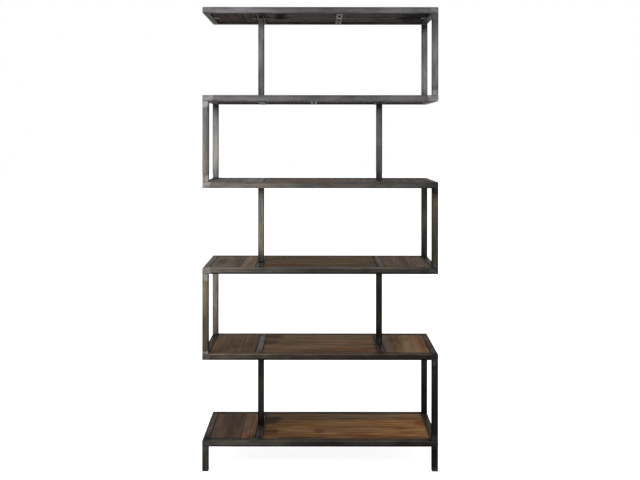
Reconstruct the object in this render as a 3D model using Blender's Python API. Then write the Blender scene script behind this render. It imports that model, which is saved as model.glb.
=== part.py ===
"""Zig-zag etagere: six welded square-tube shelves on end posts that change sides, with inset boards.

Run with blender --background --python part.py. Units are metres, +Z is up, the front faces -Y,
and the origin is on the floor under the middle of the piece.
"""

import bmesh
import bpy
from mathutils import Vector

# Overall sizes
WIDTH = 1.020
DEPTH = 0.400
LEG_HEIGHT = 0.107

# The usual clear height of a bay, and the shares of it that the five bays have from the floor up
BAY_HEIGHT = 0.348
BAY_SHARES = (0.997, 0.991, 0.989, 1.003, 1.017)

# Square steel tube
TUBE = 0.027
TUBE_WALL = 0.0015
TUBE_CORNER = 0.003
CORNER_SEGMENTS = 3

# Places of the middle posts and of the straps under the planks
MIDDLE_POST_OFFSET = 0.268
STRAP_SHIFT = -0.029

# Flat steel that carries the boards from below
PLATE_THICKNESS = 0.003
STRAP_WIDTH = 0.028
TAB_LENGTH = 0.024
TAB_WIDTH = 0.030
WELD_ROOT = 0.0006

# Boards
BOARD_THICKNESS = 0.018
BOARD_DROP = 0.001
BOARD_CLEARANCE = 0.0025
BOARD_CHAMFER = 0.001
LEFT_BOARD_SHARES = (0.685, 0.315)
RIGHT_BOARD_SHARES = (0.57, 0.43)
PLANK_SHARES = (0.13, 0.29, 0.30, 0.28)

# Vent hole that opens each welded frame
VENT_RADIUS = 0.003
VENT_SIDES = 12
VENT_PLACE_SHARE = 0.3

# Glides under the legs
GLIDE_HEIGHT = 0.004
GLIDE_CHAMFER = 0.0012
PLUG_LENGTH = 0.014
PLUG_CLEARANCE = 0.0003

# Clearances: between welded faces, between a board and its seat, and past a cut
WELD_GAP = 0.0003
SEAT_GAP = 0.0003
OVERRUN = 0.001

# How near an axis counts as along it, a bevel's round profile, and the crease that stays sharp
ALIGNED_SHARE = 0.9
ARC_PROFILE_SHARE = 0.5
SHARP_ANGLE = 0.6

# Finishes: colour, roughness, metallic
FINISHES = {
    "frame_steel": ((0.135, 0.130, 0.125), 0.42, 1.0),
    "post_steel": ((0.150, 0.143, 0.125), 0.40, 1.0),
    "crossbar_steel": ((0.165, 0.160, 0.152), 0.45, 1.0),
    "leg_steel": ((0.105, 0.102, 0.098), 0.45, 1.0),
    "end_board_wood": ((0.065, 0.042, 0.028), 0.60, 0.0),
    "plank_wood": ((0.115, 0.062, 0.032), 0.58, 0.0),
    "glide_plastic": ((0.012, 0.012, 0.012), 0.55, 0.0),
}

SIDES = {"left": -1, "right": 1}


def clear_scene():
    """Removes every object of the scene."""
    for obj in list(bpy.data.objects):
        bpy.data.objects.remove(obj, do_unlink=True)


def make_finishes():
    """Makes one Principled material for each finish and returns them by name."""
    made = {}
    for name, (colour, roughness, metallic) in FINISHES.items():
        material = bpy.data.materials.new(name)
        material.use_nodes = True
        shader = material.node_tree.nodes["Principled BSDF"]
        shader.inputs["Base Color"].default_value = (*colour, 1.0)
        shader.inputs["Roughness"].default_value = roughness
        shader.inputs["Metallic"].default_value = metallic
        made[name] = material
    return made


def make_object(name, shape, place, material=None):
    """Turns a bmesh into an object at a place, and frees the bmesh."""
    bmesh.ops.recalc_face_normals(shape, faces=shape.faces)
    mesh = bpy.data.meshes.new(name)
    shape.to_mesh(mesh)
    shape.free()
    obj = bpy.data.objects.new(name, mesh)
    obj.location = place
    if material:
        mesh.materials.append(material)
    bpy.context.scene.collection.objects.link(obj)
    return obj


def make_helper(name, shape, place):
    """Makes an object that only cuts or joins others, so it never shows."""
    helper = make_object(name, shape, place)
    helper.hide_render = True
    helper.display_type = "WIRE"
    return helper


def add_boolean(obj, helper, operation):
    """Joins a helper to an object, or cuts it out."""
    modifier = obj.modifiers.new(helper.name, "BOOLEAN")
    modifier.operation = operation
    modifier.solver = "EXACT"
    modifier.object = helper


def add_wall(obj):
    """Gives the outer skin of a tube its wall, inwards."""
    modifier = obj.modifiers.new("wall", "SOLIDIFY")
    modifier.thickness = TUBE_WALL
    modifier.offset = -1
    modifier.use_even_offset = True
    modifier.use_quality_normals = True


def box(size):
    """A bmesh box of a size, centred on its origin."""
    shape = bmesh.new()
    bmesh.ops.create_cube(shape, size=1)
    bmesh.ops.scale(shape, vec=Vector(size), verts=shape.verts)
    return shape


def add_box(shape, size, place):
    """Adds one more box to a bmesh at a place."""
    made = bmesh.ops.create_cube(shape, size=1)["verts"]
    bmesh.ops.scale(shape, vec=Vector(size), verts=made)
    bmesh.ops.translate(shape, vec=Vector(place), verts=made)


def edge_direction(edge):
    """The unit vector along an edge."""
    return (edge.verts[1].co - edge.verts[0].co).normalized()


def round_edges(shape, edges, radius, segments):
    """Rounds the given edges of a bmesh."""
    bmesh.ops.bevel(
        shape, geom=edges, offset=radius, offset_type="OFFSET", segments=segments,
        profile=ARC_PROFILE_SHARE, affect="EDGES", clamp_overlap=False,
    )


def shade_round(obj):
    """Shades rounded corners smooth and keeps the flats crisp."""
    obj.data.shade_smooth()
    obj.data.set_sharp_from_angle(angle=SHARP_ANGLE)


def make_tube(name, place, axis, length, material):
    """A straight open length of square tube, centred on a place, along X, Y or Z."""
    along = Vector([float(letter == axis) for letter in "XYZ"])
    size = [length if letter == axis else TUBE for letter in "XYZ"]
    shape = box(size)
    shape.normal_update()
    ends = [face for face in shape.faces if abs(face.normal.dot(along)) > ALIGNED_SHARE]
    bmesh.ops.delete(shape, geom=ends, context="FACES_ONLY")
    corners = []
    for edge in shape.edges:
        if abs(edge_direction(edge).dot(along)) > ALIGNED_SHARE:
            corners.append(edge)
    round_edges(shape, corners, TUBE_CORNER, CORNER_SEGMENTS)
    tube = make_object(name, shape, place, material)
    shade_round(tube)
    add_wall(tube)
    return tube


def ring_skin():
    """The outer skin of a mitred ring of square tube, centred on its origin."""
    shape = box((WIDTH, DEPTH, TUBE))
    shape.normal_update()
    flats = [face for face in shape.faces if abs(face.normal.z) > ALIGNED_SHARE]
    bmesh.ops.inset_individual(shape, faces=flats, thickness=TUBE, use_even_offset=True)
    rims = [edge for face in flats for edge in face.edges]
    bmesh.ops.delete(shape, geom=flats, context="FACES_ONLY")
    bmesh.ops.bridge_loops(shape, edges=rims)
    longways = []
    for edge in shape.edges:
        direction = edge_direction(edge)
        if max(abs(direction.x), abs(direction.y)) > ALIGNED_SHARE:
            longways.append(edge)
    round_edges(shape, longways, TUBE_CORNER, CORNER_SEGMENTS)
    return shape


def crossbars_of(shelf):
    """The sides on which a shelf has a crossbar: wherever a middle post meets it."""
    bays = [bay for bay in (shelf - 1, shelf) if 0 <= bay < len(BAY_SHARES)]
    return sorted(middle_side(bay) for bay in bays)


def end_side(bay):
    """The side of a bay that its end posts stand on. It changes with each bay."""
    return "right" if bay % 2 == 0 else "left"


def middle_side(bay):
    """The side of a bay that its middle post stands on, opposite its end posts."""
    return "left" if end_side(bay) == "right" else "right"


def bay_heights():
    """The clear height of each bay, from one frame up to the next."""
    return [share * BAY_HEIGHT for share in BAY_SHARES]


def frame_floors():
    """The height of the underside of each shelf frame, from the lowest up."""
    floors = [LEG_HEIGHT]
    for height in bay_heights():
        floors.append(floors[-1] + TUBE + height)
    return floors


def plate_height(floor):
    """The middle height of the straps and tabs that carry the boards of a frame."""
    board_underside = floor + TUBE - BOARD_DROP - BOARD_THICKNESS
    return board_underside - SEAT_GAP - PLATE_THICKNESS / 2


def compartments(shelf):
    """The spaces between a shelf's end rails and crossbars: a name, a low x and a high x."""
    bars = [SIDES[side] * MIDDLE_POST_OFFSET for side in crossbars_of(shelf)]
    lows = [TUBE - WIDTH / 2] + [bar + TUBE / 2 for bar in bars]
    highs = [bar - TUBE / 2 for bar in bars] + [WIDTH / 2 - TUBE]
    found = []
    for low, high in zip(lows, highs):
        name = "planks" if low < 0 < high else "left_boards" if high < 0 else "right_boards"
        found.append((name, low, high))
    return found


def strap_place(shelf):
    """Where a shelf's strap crosses its planks, along X."""
    for name, low, high in compartments(shelf):
        if name == "planks":
            return (low + high) / 2 + STRAP_SHIFT
    raise ValueError(f"shelf {shelf + 1} has no planks")


def add_tab(shape, root_x, reach, height):
    """Adds a tab to a bmesh, from a steel face at root_x out to one side, at mid-depth."""
    length = TAB_LENGTH + WELD_ROOT
    middle = root_x + reach * (TAB_LENGTH - WELD_ROOT) / 2
    add_box(shape, (length, TAB_WIDTH, PLATE_THICKNESS), (middle, 0, height))


def make_frame(shelf, floor, material):
    """One welded shelf frame: a hollow mitred ring with a strap and two end tabs welded in."""
    name = f"shelf_{shelf + 1}_frame"
    frame = make_object(name, ring_skin(), (0, 0, floor + TUBE / 2), material)
    shade_round(frame)
    add_wall(frame)

    vent = bmesh.new()
    bmesh.ops.create_cone(
        vent, cap_ends=True, segments=VENT_SIDES, radius1=VENT_RADIUS, radius2=VENT_RADIUS,
        depth=TUBE_WALL + OVERRUN * 2,
    )
    vent_place = (WIDTH * VENT_PLACE_SHARE, (DEPTH - TUBE) / 2, floor + TUBE_WALL / 2)
    add_boolean(frame, make_helper(f"{name}_vent", vent, vent_place), "DIFFERENCE")

    plates = bmesh.new()
    height = plate_height(floor)
    strap_length = DEPTH - (TUBE - WELD_ROOT) * 2
    add_box(plates, (STRAP_WIDTH, strap_length, PLATE_THICKNESS), (strap_place(shelf), 0, height))
    add_tab(plates, TUBE - WIDTH / 2, 1, height)
    add_tab(plates, WIDTH / 2 - TUBE, -1, height)
    add_boolean(frame, make_helper(f"{name}_plates", plates, (0, 0, 0)), "UNION")


def make_crossbar(shelf, side, floor, material):
    """A tube from the front rail to the rear rail, with a tab for the boards on each side."""
    name = f"shelf_{shelf + 1}_crossbar_{side}"
    middle = SIDES[side] * MIDDLE_POST_OFFSET
    length = DEPTH - (TUBE + WELD_GAP) * 2
    bar = make_tube(name, (middle, 0, floor + TUBE / 2), "Y", length, material)
    tabs = bmesh.new()
    for reach in SIDES.values():
        add_tab(tabs, middle + reach * TUBE / 2, reach, plate_height(floor))
    add_boolean(bar, make_helper(f"{name}_tabs", tabs, (0, 0, 0)), "UNION")


def board_outline(widths, thickness):
    """The end view of boards glued side by side: points (across, height) with chamfered arrises."""
    top = []
    start = 0
    for width in widths:
        top.append((start, thickness - BOARD_CHAMFER))
        top.append((start + BOARD_CHAMFER, thickness))
        top.append((start + width - BOARD_CHAMFER, thickness))
        start += width
    top.append((start, thickness - BOARD_CHAMFER))
    underside = [(across, thickness - height) for across, height in reversed(top)]
    return top + underside


def make_boards(name, low, high, floor, material):
    """The boards of one compartment, glued into one panel that rests on the tabs and the strap."""
    across_x = high - low - BOARD_CLEARANCE * 2
    across_y = DEPTH - (TUBE + BOARD_CLEARANCE) * 2
    planks = name.endswith("planks")
    if planks:
        shares = PLANK_SHARES
    else:
        shares = LEFT_BOARD_SHARES if name.endswith("left_boards") else RIGHT_BOARD_SHARES
    across, along = (across_y, across_x) if planks else (across_x, across_y)
    outline = board_outline([share * across for share in shares], BOARD_THICKNESS)

    shape = bmesh.new()
    corners = []
    for place, height in outline:
        flat = (-along / 2, place - across / 2) if planks else (place - across / 2, -along / 2)
        corners.append(shape.verts.new((*flat, height)))
    end_face = shape.faces.new(corners)
    swept = bmesh.ops.extrude_face_region(shape, geom=[end_face])["geom"]
    moved = [item for item in swept if isinstance(item, bmesh.types.BMVert)]
    run = Vector((along, 0, 0)) if planks else Vector((0, along, 0))
    bmesh.ops.translate(shape, vec=run, verts=moved)
    underside = floor + TUBE - BOARD_DROP - BOARD_THICKNESS
    make_object(name, shape, ((low + high) / 2, 0, underside), material)


def make_glide(name, x, y, material):
    """A plastic glide: a cap on the floor with a plug that goes up into the leg."""
    shape = box((TUBE, TUBE, GLIDE_HEIGHT))
    corners = [edge for edge in shape.edges if abs(edge_direction(edge).z) > ALIGNED_SHARE]
    round_edges(shape, corners, TUBE_CORNER, CORNER_SEGMENTS)
    shape.normal_update()
    top = max(shape.faces, key=lambda face: face.calc_center_median().z)
    underside = min(shape.faces, key=lambda face: face.calc_center_median().z)
    inset = TUBE_WALL + PLUG_CLEARANCE
    bmesh.ops.inset_individual(shape, faces=[top], thickness=inset, use_even_offset=True)
    plug = bmesh.ops.extrude_face_region(shape, geom=[top])["geom"]
    raised = [item for item in plug if isinstance(item, bmesh.types.BMVert)]
    bmesh.ops.translate(shape, vec=(0, 0, PLUG_LENGTH), verts=raised)
    bmesh.ops.delete(shape, geom=[top], context="FACES")
    round_edges(shape, list(underside.edges), GLIDE_CHAMFER, 1)
    glide = make_object(name, shape, (x, y, GLIDE_HEIGHT / 2), material)
    shade_round(glide)


def make_posts(bay, floor, material):
    """The two end posts and the middle post that stand on the frame under a bay."""
    height = bay_heights()[bay]
    middle = floor + TUBE + height / 2
    length = height - WELD_GAP * 2
    end_x = SIDES[end_side(bay)] * (WIDTH - TUBE) / 2
    for row, y in (("front", (TUBE - DEPTH) / 2), ("rear", (DEPTH - TUBE) / 2)):
        make_tube(f"bay_{bay + 1}_end_post_{row}", (end_x, y, middle), "Z", length, material)
    middle_x = SIDES[middle_side(bay)] * MIDDLE_POST_OFFSET
    make_tube(f"bay_{bay + 1}_middle_post", (middle_x, 0, middle), "Z", length, material)


def make_legs(steel, plastic):
    """Four legs under the corners of the lowest frame, each with its glide."""
    low = GLIDE_HEIGHT + WELD_GAP
    high = LEG_HEIGHT - WELD_GAP
    for row, y in (("front", (TUBE - DEPTH) / 2), ("rear", (DEPTH - TUBE) / 2)):
        for side, sign in SIDES.items():
            x = sign * (WIDTH - TUBE) / 2
            make_tube(f"leg_{row}_{side}", (x, y, (low + high) / 2), "Z", high - low, steel)
            make_glide(f"glide_{row}_{side}", x, y, plastic)


def main():
    """Builds the whole etagere from the floor up."""
    clear_scene()
    finishes = make_finishes()
    make_legs(finishes["leg_steel"], finishes["glide_plastic"])
    for shelf, floor in enumerate(frame_floors()):
        make_frame(shelf, floor, finishes["frame_steel"])
        for side in crossbars_of(shelf):
            make_crossbar(shelf, side, floor, finishes["crossbar_steel"])
        for name, low, high in compartments(shelf):
            wood = finishes["plank_wood" if name == "planks" else "end_board_wood"]
            make_boards(f"shelf_{shelf + 1}_{name}", low, high, floor, wood)
        if shelf < len(BAY_SHARES):
            make_posts(shelf, floor, finishes["post_steel"])


main()
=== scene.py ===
"""Dresses the zig-zag etagere: worn welded tube, reclaimed boards, welds and screws, in a plain studio.

Run inside Blender. Units are metres, +Z is up and the front faces -Y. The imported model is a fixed
frame: its steel stays as it is and gets its finish here, and its board panels are replaced by
separate boards of the same size.
"""

from __future__ import annotations

import logging
import math
import random
from contextlib import contextmanager
from dataclasses import dataclass
from enum import Enum
from typing import Callable, Iterator, Sequence, Union

import bmesh
import bpy
from mathutils import Euler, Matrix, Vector


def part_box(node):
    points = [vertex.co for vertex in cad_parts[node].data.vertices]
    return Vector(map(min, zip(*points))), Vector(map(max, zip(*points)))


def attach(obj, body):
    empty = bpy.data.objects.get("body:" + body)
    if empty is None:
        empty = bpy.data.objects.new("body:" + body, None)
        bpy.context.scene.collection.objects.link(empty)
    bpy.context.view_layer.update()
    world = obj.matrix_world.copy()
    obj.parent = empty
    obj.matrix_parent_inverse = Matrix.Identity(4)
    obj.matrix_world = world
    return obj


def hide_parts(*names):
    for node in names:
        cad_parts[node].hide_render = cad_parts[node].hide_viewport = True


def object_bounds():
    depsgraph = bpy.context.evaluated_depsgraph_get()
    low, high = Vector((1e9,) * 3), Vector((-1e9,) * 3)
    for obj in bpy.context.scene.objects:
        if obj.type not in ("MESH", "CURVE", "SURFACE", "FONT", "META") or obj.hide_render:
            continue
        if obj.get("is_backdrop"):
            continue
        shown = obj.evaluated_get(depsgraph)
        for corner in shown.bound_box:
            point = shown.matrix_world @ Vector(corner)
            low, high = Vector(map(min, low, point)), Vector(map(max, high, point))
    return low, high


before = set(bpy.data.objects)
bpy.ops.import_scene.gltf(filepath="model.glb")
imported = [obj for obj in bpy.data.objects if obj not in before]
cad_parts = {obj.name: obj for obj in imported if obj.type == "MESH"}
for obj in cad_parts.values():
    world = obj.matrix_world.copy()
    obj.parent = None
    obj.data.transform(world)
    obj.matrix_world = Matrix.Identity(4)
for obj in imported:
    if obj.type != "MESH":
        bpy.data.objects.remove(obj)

LOG = logging.getLogger("etagere")

Piece = bpy.types.Object
Material = bpy.types.Material
NodeTree = bpy.types.NodeTree
Colour = tuple[float, float, float]
Value = Union["Signal", float, Sequence[float]]
Inputs = dict[Union[str, int], Value]
Places = dict[str, "Signal"]
LayOut = Callable[["Surface"], Places]

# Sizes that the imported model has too
TUBE = 0.027
HALF_TUBE = TUBE / 2
TUBE_CORNER = 0.003
STRAP_SHIFT = -0.029
STRAP_WIDTH = 0.028
PLATE_DROP = 0.0033

# Both ways from a middle
SIGNS = (-1, 1)

# Bolts and screws of the strap, from its middle, and screws of the tabs, from the tube that they are on
BOLT_STEP = 0.060
STRAP_END_SCREW = (0.009, 0.158)
TAB_SCREW = 0.0125
TAB_SCREW_STEP = 0.007
HEAD_LIFT = 0.00005

# How far the scorch reaches along a crossbar round the post that hangs below it
HANGING_SOOT = 0.045

# What tints the tone of steel and wood, as shares of red, green and blue
HEATED = (0.62, 0.52, 0.44)
SOOTED = (0.24, 0.19, 0.15)
PITTED = (0.35, 0.32, 0.30)
MITRED = (0.40, 0.36, 0.33)
BRIGHT_PLATE = (1.45, 1.40, 1.38)
BRUSHED_LOW = (0.62, 0.60, 0.57)
BRUSHED_HIGH = (1.42, 1.40, 1.36)
BROWN_WELD = (1.20, 0.86, 0.62)
RED_WOOD = (1.22, 0.90, 0.78)
# The grey tint of the painted shade on a board's underside
SHADED_UNDERSIDE = (0.88, 1.08, 1.30)

# How far the boards reach past the imported panels, and how wide the painted shade on the tubes' rounded
# corners is
BOARD_SPREAD = 0.0017
LEVEL_EDGE = 0.0040
POST_EDGE = 0.0064


class Axis(Enum):
    """Direction in which a tube or a board runs, as the numbers of its long, cross and upright axes."""

    X = (0, 1, 2)
    Y = (1, 0, 2)
    Z = (2, 0, 1)


class Side(Enum):
    """End of the etagere, with its sign along X."""

    LEFT = -1
    RIGHT = 1


class Tint(Enum):
    """Cast of a piece of steel, as shares of red, green and blue."""

    PLAIN = (1.0, 1.0, 1.0)
    NEUTRAL = (1.01, 1.0, 0.98)
    WARM = (1.09, 0.99, 0.85)
    BROWN = (1.20, 0.96, 0.78)
    KHAKI = (1.13, 1.0, 0.68)
    MAUVE = (1.08, 0.96, 0.93)
    SLATE = (1.02, 0.985, 1.0)


def paint(red: float, green: float, blue: float) -> Colour:
    """Turns a screen colour of 0 to 255 into the linear colour that shaders read.

    Args:
        red: Red on the screen.
        green: Green on the screen.
        blue: Blue on the screen.

    Returns:
        The linear colour.
    """
    return tuple(
        v / 12.92 if v <= 0.04045 else ((v + 0.055) / 1.055) ** 2.4
        for v in (red / 255, green / 255, blue / 255)
    )


def scaled(colour: Colour, share: float) -> Colour:
    """A colour made lighter or darker by a share."""
    return tuple(part * share for part in colour)


class Signal:
    """A value in a node graph, which can be reckoned with like a number."""

    def __init__(self, graph: Graph, socket: bpy.types.NodeSocket) -> None:
        """Keeps the output socket and the graph that it is in."""
        self.graph = graph
        self.socket = socket

    def __add__(self, other: Value) -> Signal:
        """This value plus another."""
        return self.graph.math("ADD", self, other)

    def __sub__(self, other: Value) -> Signal:
        """This value less another."""
        return self.graph.math("SUBTRACT", self, other)

    def __rsub__(self, other: float) -> Signal:
        """A number less this value."""
        return self.graph.math("SUBTRACT", other, self)

    def __mul__(self, other: Value) -> Signal:
        """This value times another."""
        return self.graph.math("MULTIPLY", self, other)

    def __truediv__(self, other: Value) -> Signal:
        """This value divided by another."""
        return self.graph.math("DIVIDE", self, other)

    def __abs__(self) -> Signal:
        """This value without its sign."""
        return self.graph.math("ABSOLUTE", self)


class Graph:
    """Places and links the nodes of one material, group or world."""

    def __init__(self, tree: NodeTree) -> None:
        """Keeps the tree that the nodes go into."""
        self.tree = tree

    def feed(self, socket: bpy.types.NodeSocket, value: Value) -> None:
        """Links a socket to a signal, or sets its value.

        Args:
            socket: The input to feed.
            value: A signal, a number, a vector or a colour.
        """
        if isinstance(value, Signal):
            self.tree.links.new(value.socket, socket)
        elif isinstance(value, (int, float)):
            socket.default_value = value
        else:
            socket.default_value = (*value, 1.0)[:len(socket.default_value)]

    def node(self, kind: str, inputs: Inputs | None = None, **options: object) -> bpy.types.Node:
        """Adds a node.

        Args:
            kind: The node's type.
            inputs: What its inputs are fed with, by name or number.
            **options: The node's own settings.

        Returns:
            The new node.
        """
        made = self.tree.nodes.new(kind)
        for name, option in options.items():
            setattr(made, name, option)
        for key, value in (inputs or {}).items():
            self.feed(made.inputs[key], value)
        return made

    def signal(
        self, kind: str, inputs: Inputs | None = None, output: str | int = 0, **options: object
    ) -> Signal:
        """Adds a node and gives one of its outputs."""
        return Signal(self, self.node(kind, inputs, **options).outputs[output])

    def group(self, tree: NodeTree, inputs: dict[str, Value]) -> Places:
        """Places a node group and gives its outputs by name."""
        made = self.node("ShaderNodeGroup", inputs, node_tree=tree)
        return {socket.name: Signal(self, socket) for socket in made.outputs}

    def math(self, operation: str, *values: Value, clamp: bool = False) -> Signal:
        """A Math node on one to three values."""
        return self.signal("ShaderNodeMath", dict(enumerate(values)), operation=operation, use_clamp=clamp)

    def least(self, first: Value, second: Value) -> Signal:
        """The smaller of two values."""
        return self.math("MINIMUM", first, second)

    def most(self, first: Value, second: Value) -> Signal:
        """The larger of two values."""
        return self.math("MAXIMUM", first, second)

    def total(self, base: float, *terms: tuple[Value, float]) -> Signal:
        """A base plus values, each times its share, held between 0 and 1.

        Args:
            base: The base.
            *terms: Each value and its share.

        Returns:
            The sum.
        """
        whole: Value = base
        for number, (value, share) in enumerate(terms, start=1):
            whole = self.math("MULTIPLY_ADD", value, share, whole, clamp=number == len(terms))
        return whole

    def mix(self, share: Value, first: Value, second: Value, blend: str = "MIX") -> Signal:
        """A colour between two others."""
        inputs = {0: share, 6: first, 7: second}
        return self.signal("ShaderNodeMix", inputs, 2, data_type="RGBA", blend_type=blend)

    def shade(self, colour: Value, tone: Value, mask: Value = 1.0) -> Signal:
        """A colour times a tone, as far as a mask says."""
        return self.mix(mask, colour, (tone,) * 3 if isinstance(tone, float) else tone, "MULTIPLY")

    def split(self, vector: Signal) -> list[Signal]:
        """The three parts of a vector."""
        made = self.node("ShaderNodeSeparateXYZ", {"Vector": vector})
        return [Signal(self, socket) for socket in made.outputs]

    def join(self, first: Value, second: Value, third: Value) -> Signal:
        """A vector from three parts."""
        return self.signal("ShaderNodeCombineXYZ", {"X": first, "Y": second, "Z": third})

    def place(
        self, vector: Signal, move: Sequence[float] = (0, 0, 0), scale: Sequence[float] = (1, 1, 1)
    ) -> Signal:
        """A vector that is scaled and then moved."""
        return self.signal("ShaderNodeMapping", {"Vector": vector, "Location": move, "Scale": scale})

    def noise(
        self, vector: Signal, scale: float | tuple, detail: float = 2.0, roughness: float = 0.5,
        twist: float = 0.0, move: Sequence[float] = (0, 0, 0),
    ) -> Signal:
        """A noise value of 0 to 1, most of it near the middle.

        Args:
            vector: Where the noise is read.
            scale: Spots per metre, alike in all directions or for each one.
            detail: How many finer noises are laid over it.
            roughness: How strong those are.
            twist: How far it is distorted.
            move: Shift of a noise with a scale for each direction.

        Returns:
            The value.
        """
        if isinstance(scale, tuple):
            vector, scale = self.place(vector, move, scale), 1.0
        inputs = {"Vector": vector, "Scale": scale, "Detail": detail, "Roughness": roughness}
        return self.signal("ShaderNodeTexNoise", {**inputs, "Distortion": twist})

    def pattern(
        self, vector: Signal, scale: float | tuple, low: float, high: float, *fineness: float,
        move: Sequence[float] = (0, 0, 0),
    ) -> Signal:
        """A noise whose values from low to high are spread over 0 to 1."""
        return self.remap(self.noise(vector, scale, *fineness, move=move), low, high)

    def line(
        self, value: Value, low: Value, high: Value, to_low: float = 0.0, to_high: float = 1.0,
        curve: str = "LINEAR",
    ) -> Signal:
        """A value moved straight from one range to another, and held at its ends."""
        inputs = {"Value": value, "From Min": low, "From Max": high, "To Min": to_low, "To Max": to_high}
        return self.signal("ShaderNodeMapRange", inputs, interpolation_type=curve)

    def remap(
        self, value: Value, low: Value, high: Value, to_low: float = 0.0, to_high: float = 1.0
    ) -> Signal:
        """A value moved smoothly from one range to another, and held at its ends."""
        return self.line(value, low, high, to_low, to_high, "SMOOTHSTEP")

    def ramp(self, value: Value, *stops: tuple[float, Colour]) -> Signal:
        """A colour ramp through the given stops.

        Args:
            value: What picks the colour.
            *stops: Place and colour of each stop.

        Returns:
            The colour.
        """
        made = self.node("ShaderNodeValToRGB", {0: value})
        elements = made.color_ramp.elements
        while len(elements) < len(stops):
            elements.new(0.5)
        for element, (position, colour) in zip(elements, stops):
            element.position = position
            element.color = (*colour, 1.0)
        return Signal(self, made.outputs[0])

    def greys(self, value: Value, levels: Sequence[float], tint: Tint) -> Signal:
        """A colour ramp through tinted screen greys at even stations.

        Args:
            value: What picks the grey.
            levels: Greys of 0 to 255.
            tint: Their cast.

        Returns:
            The colour.
        """
        last = max(1, len(levels) - 1)
        colours = (scaled(tint.value, paint(level, level, level)[0]) for level in levels)
        return self.ramp(value, *((k / last, colour) for k, colour in enumerate(colours)))


class Effect:
    """A node group that many materials use, with its named inputs and outputs."""

    def __init__(self, name: str, *inputs: str) -> None:
        """Opens the group.

        Args:
            name: Name of the group.
            *inputs: Names of its inputs. One that is called Vector is a vector, the others are numbers.
        """
        self.tree = bpy.data.node_groups.new(name, "ShaderNodeTree")
        for label in inputs:
            self._socket(label, "INPUT", "NodeSocketVector" if label == "Vector" else "NodeSocketFloat")
        self.graph = Graph(self.tree)
        enter = self.tree.nodes.new("NodeGroupInput").outputs
        self.enter = [Signal(self.graph, enter[label]) for label in inputs]

    def _socket(self, label: str, direction: str, kind: str) -> None:
        """Adds an input or an output to the group."""
        self.tree.interface.new_socket(name=label, in_out=direction, socket_type=kind)

    def put(self, **values: Signal) -> NodeTree:
        """Gives the group its outputs and returns it.

        Args:
            **values: The outputs, by name.

        Returns:
            The finished group.
        """
        for name in values:
            self._socket(name.capitalize(), "OUTPUT", "NodeSocketFloat")
        self.graph.node("NodeGroupOutput", {name.capitalize(): value for name, value in values.items()})
        return self.tree


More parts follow.
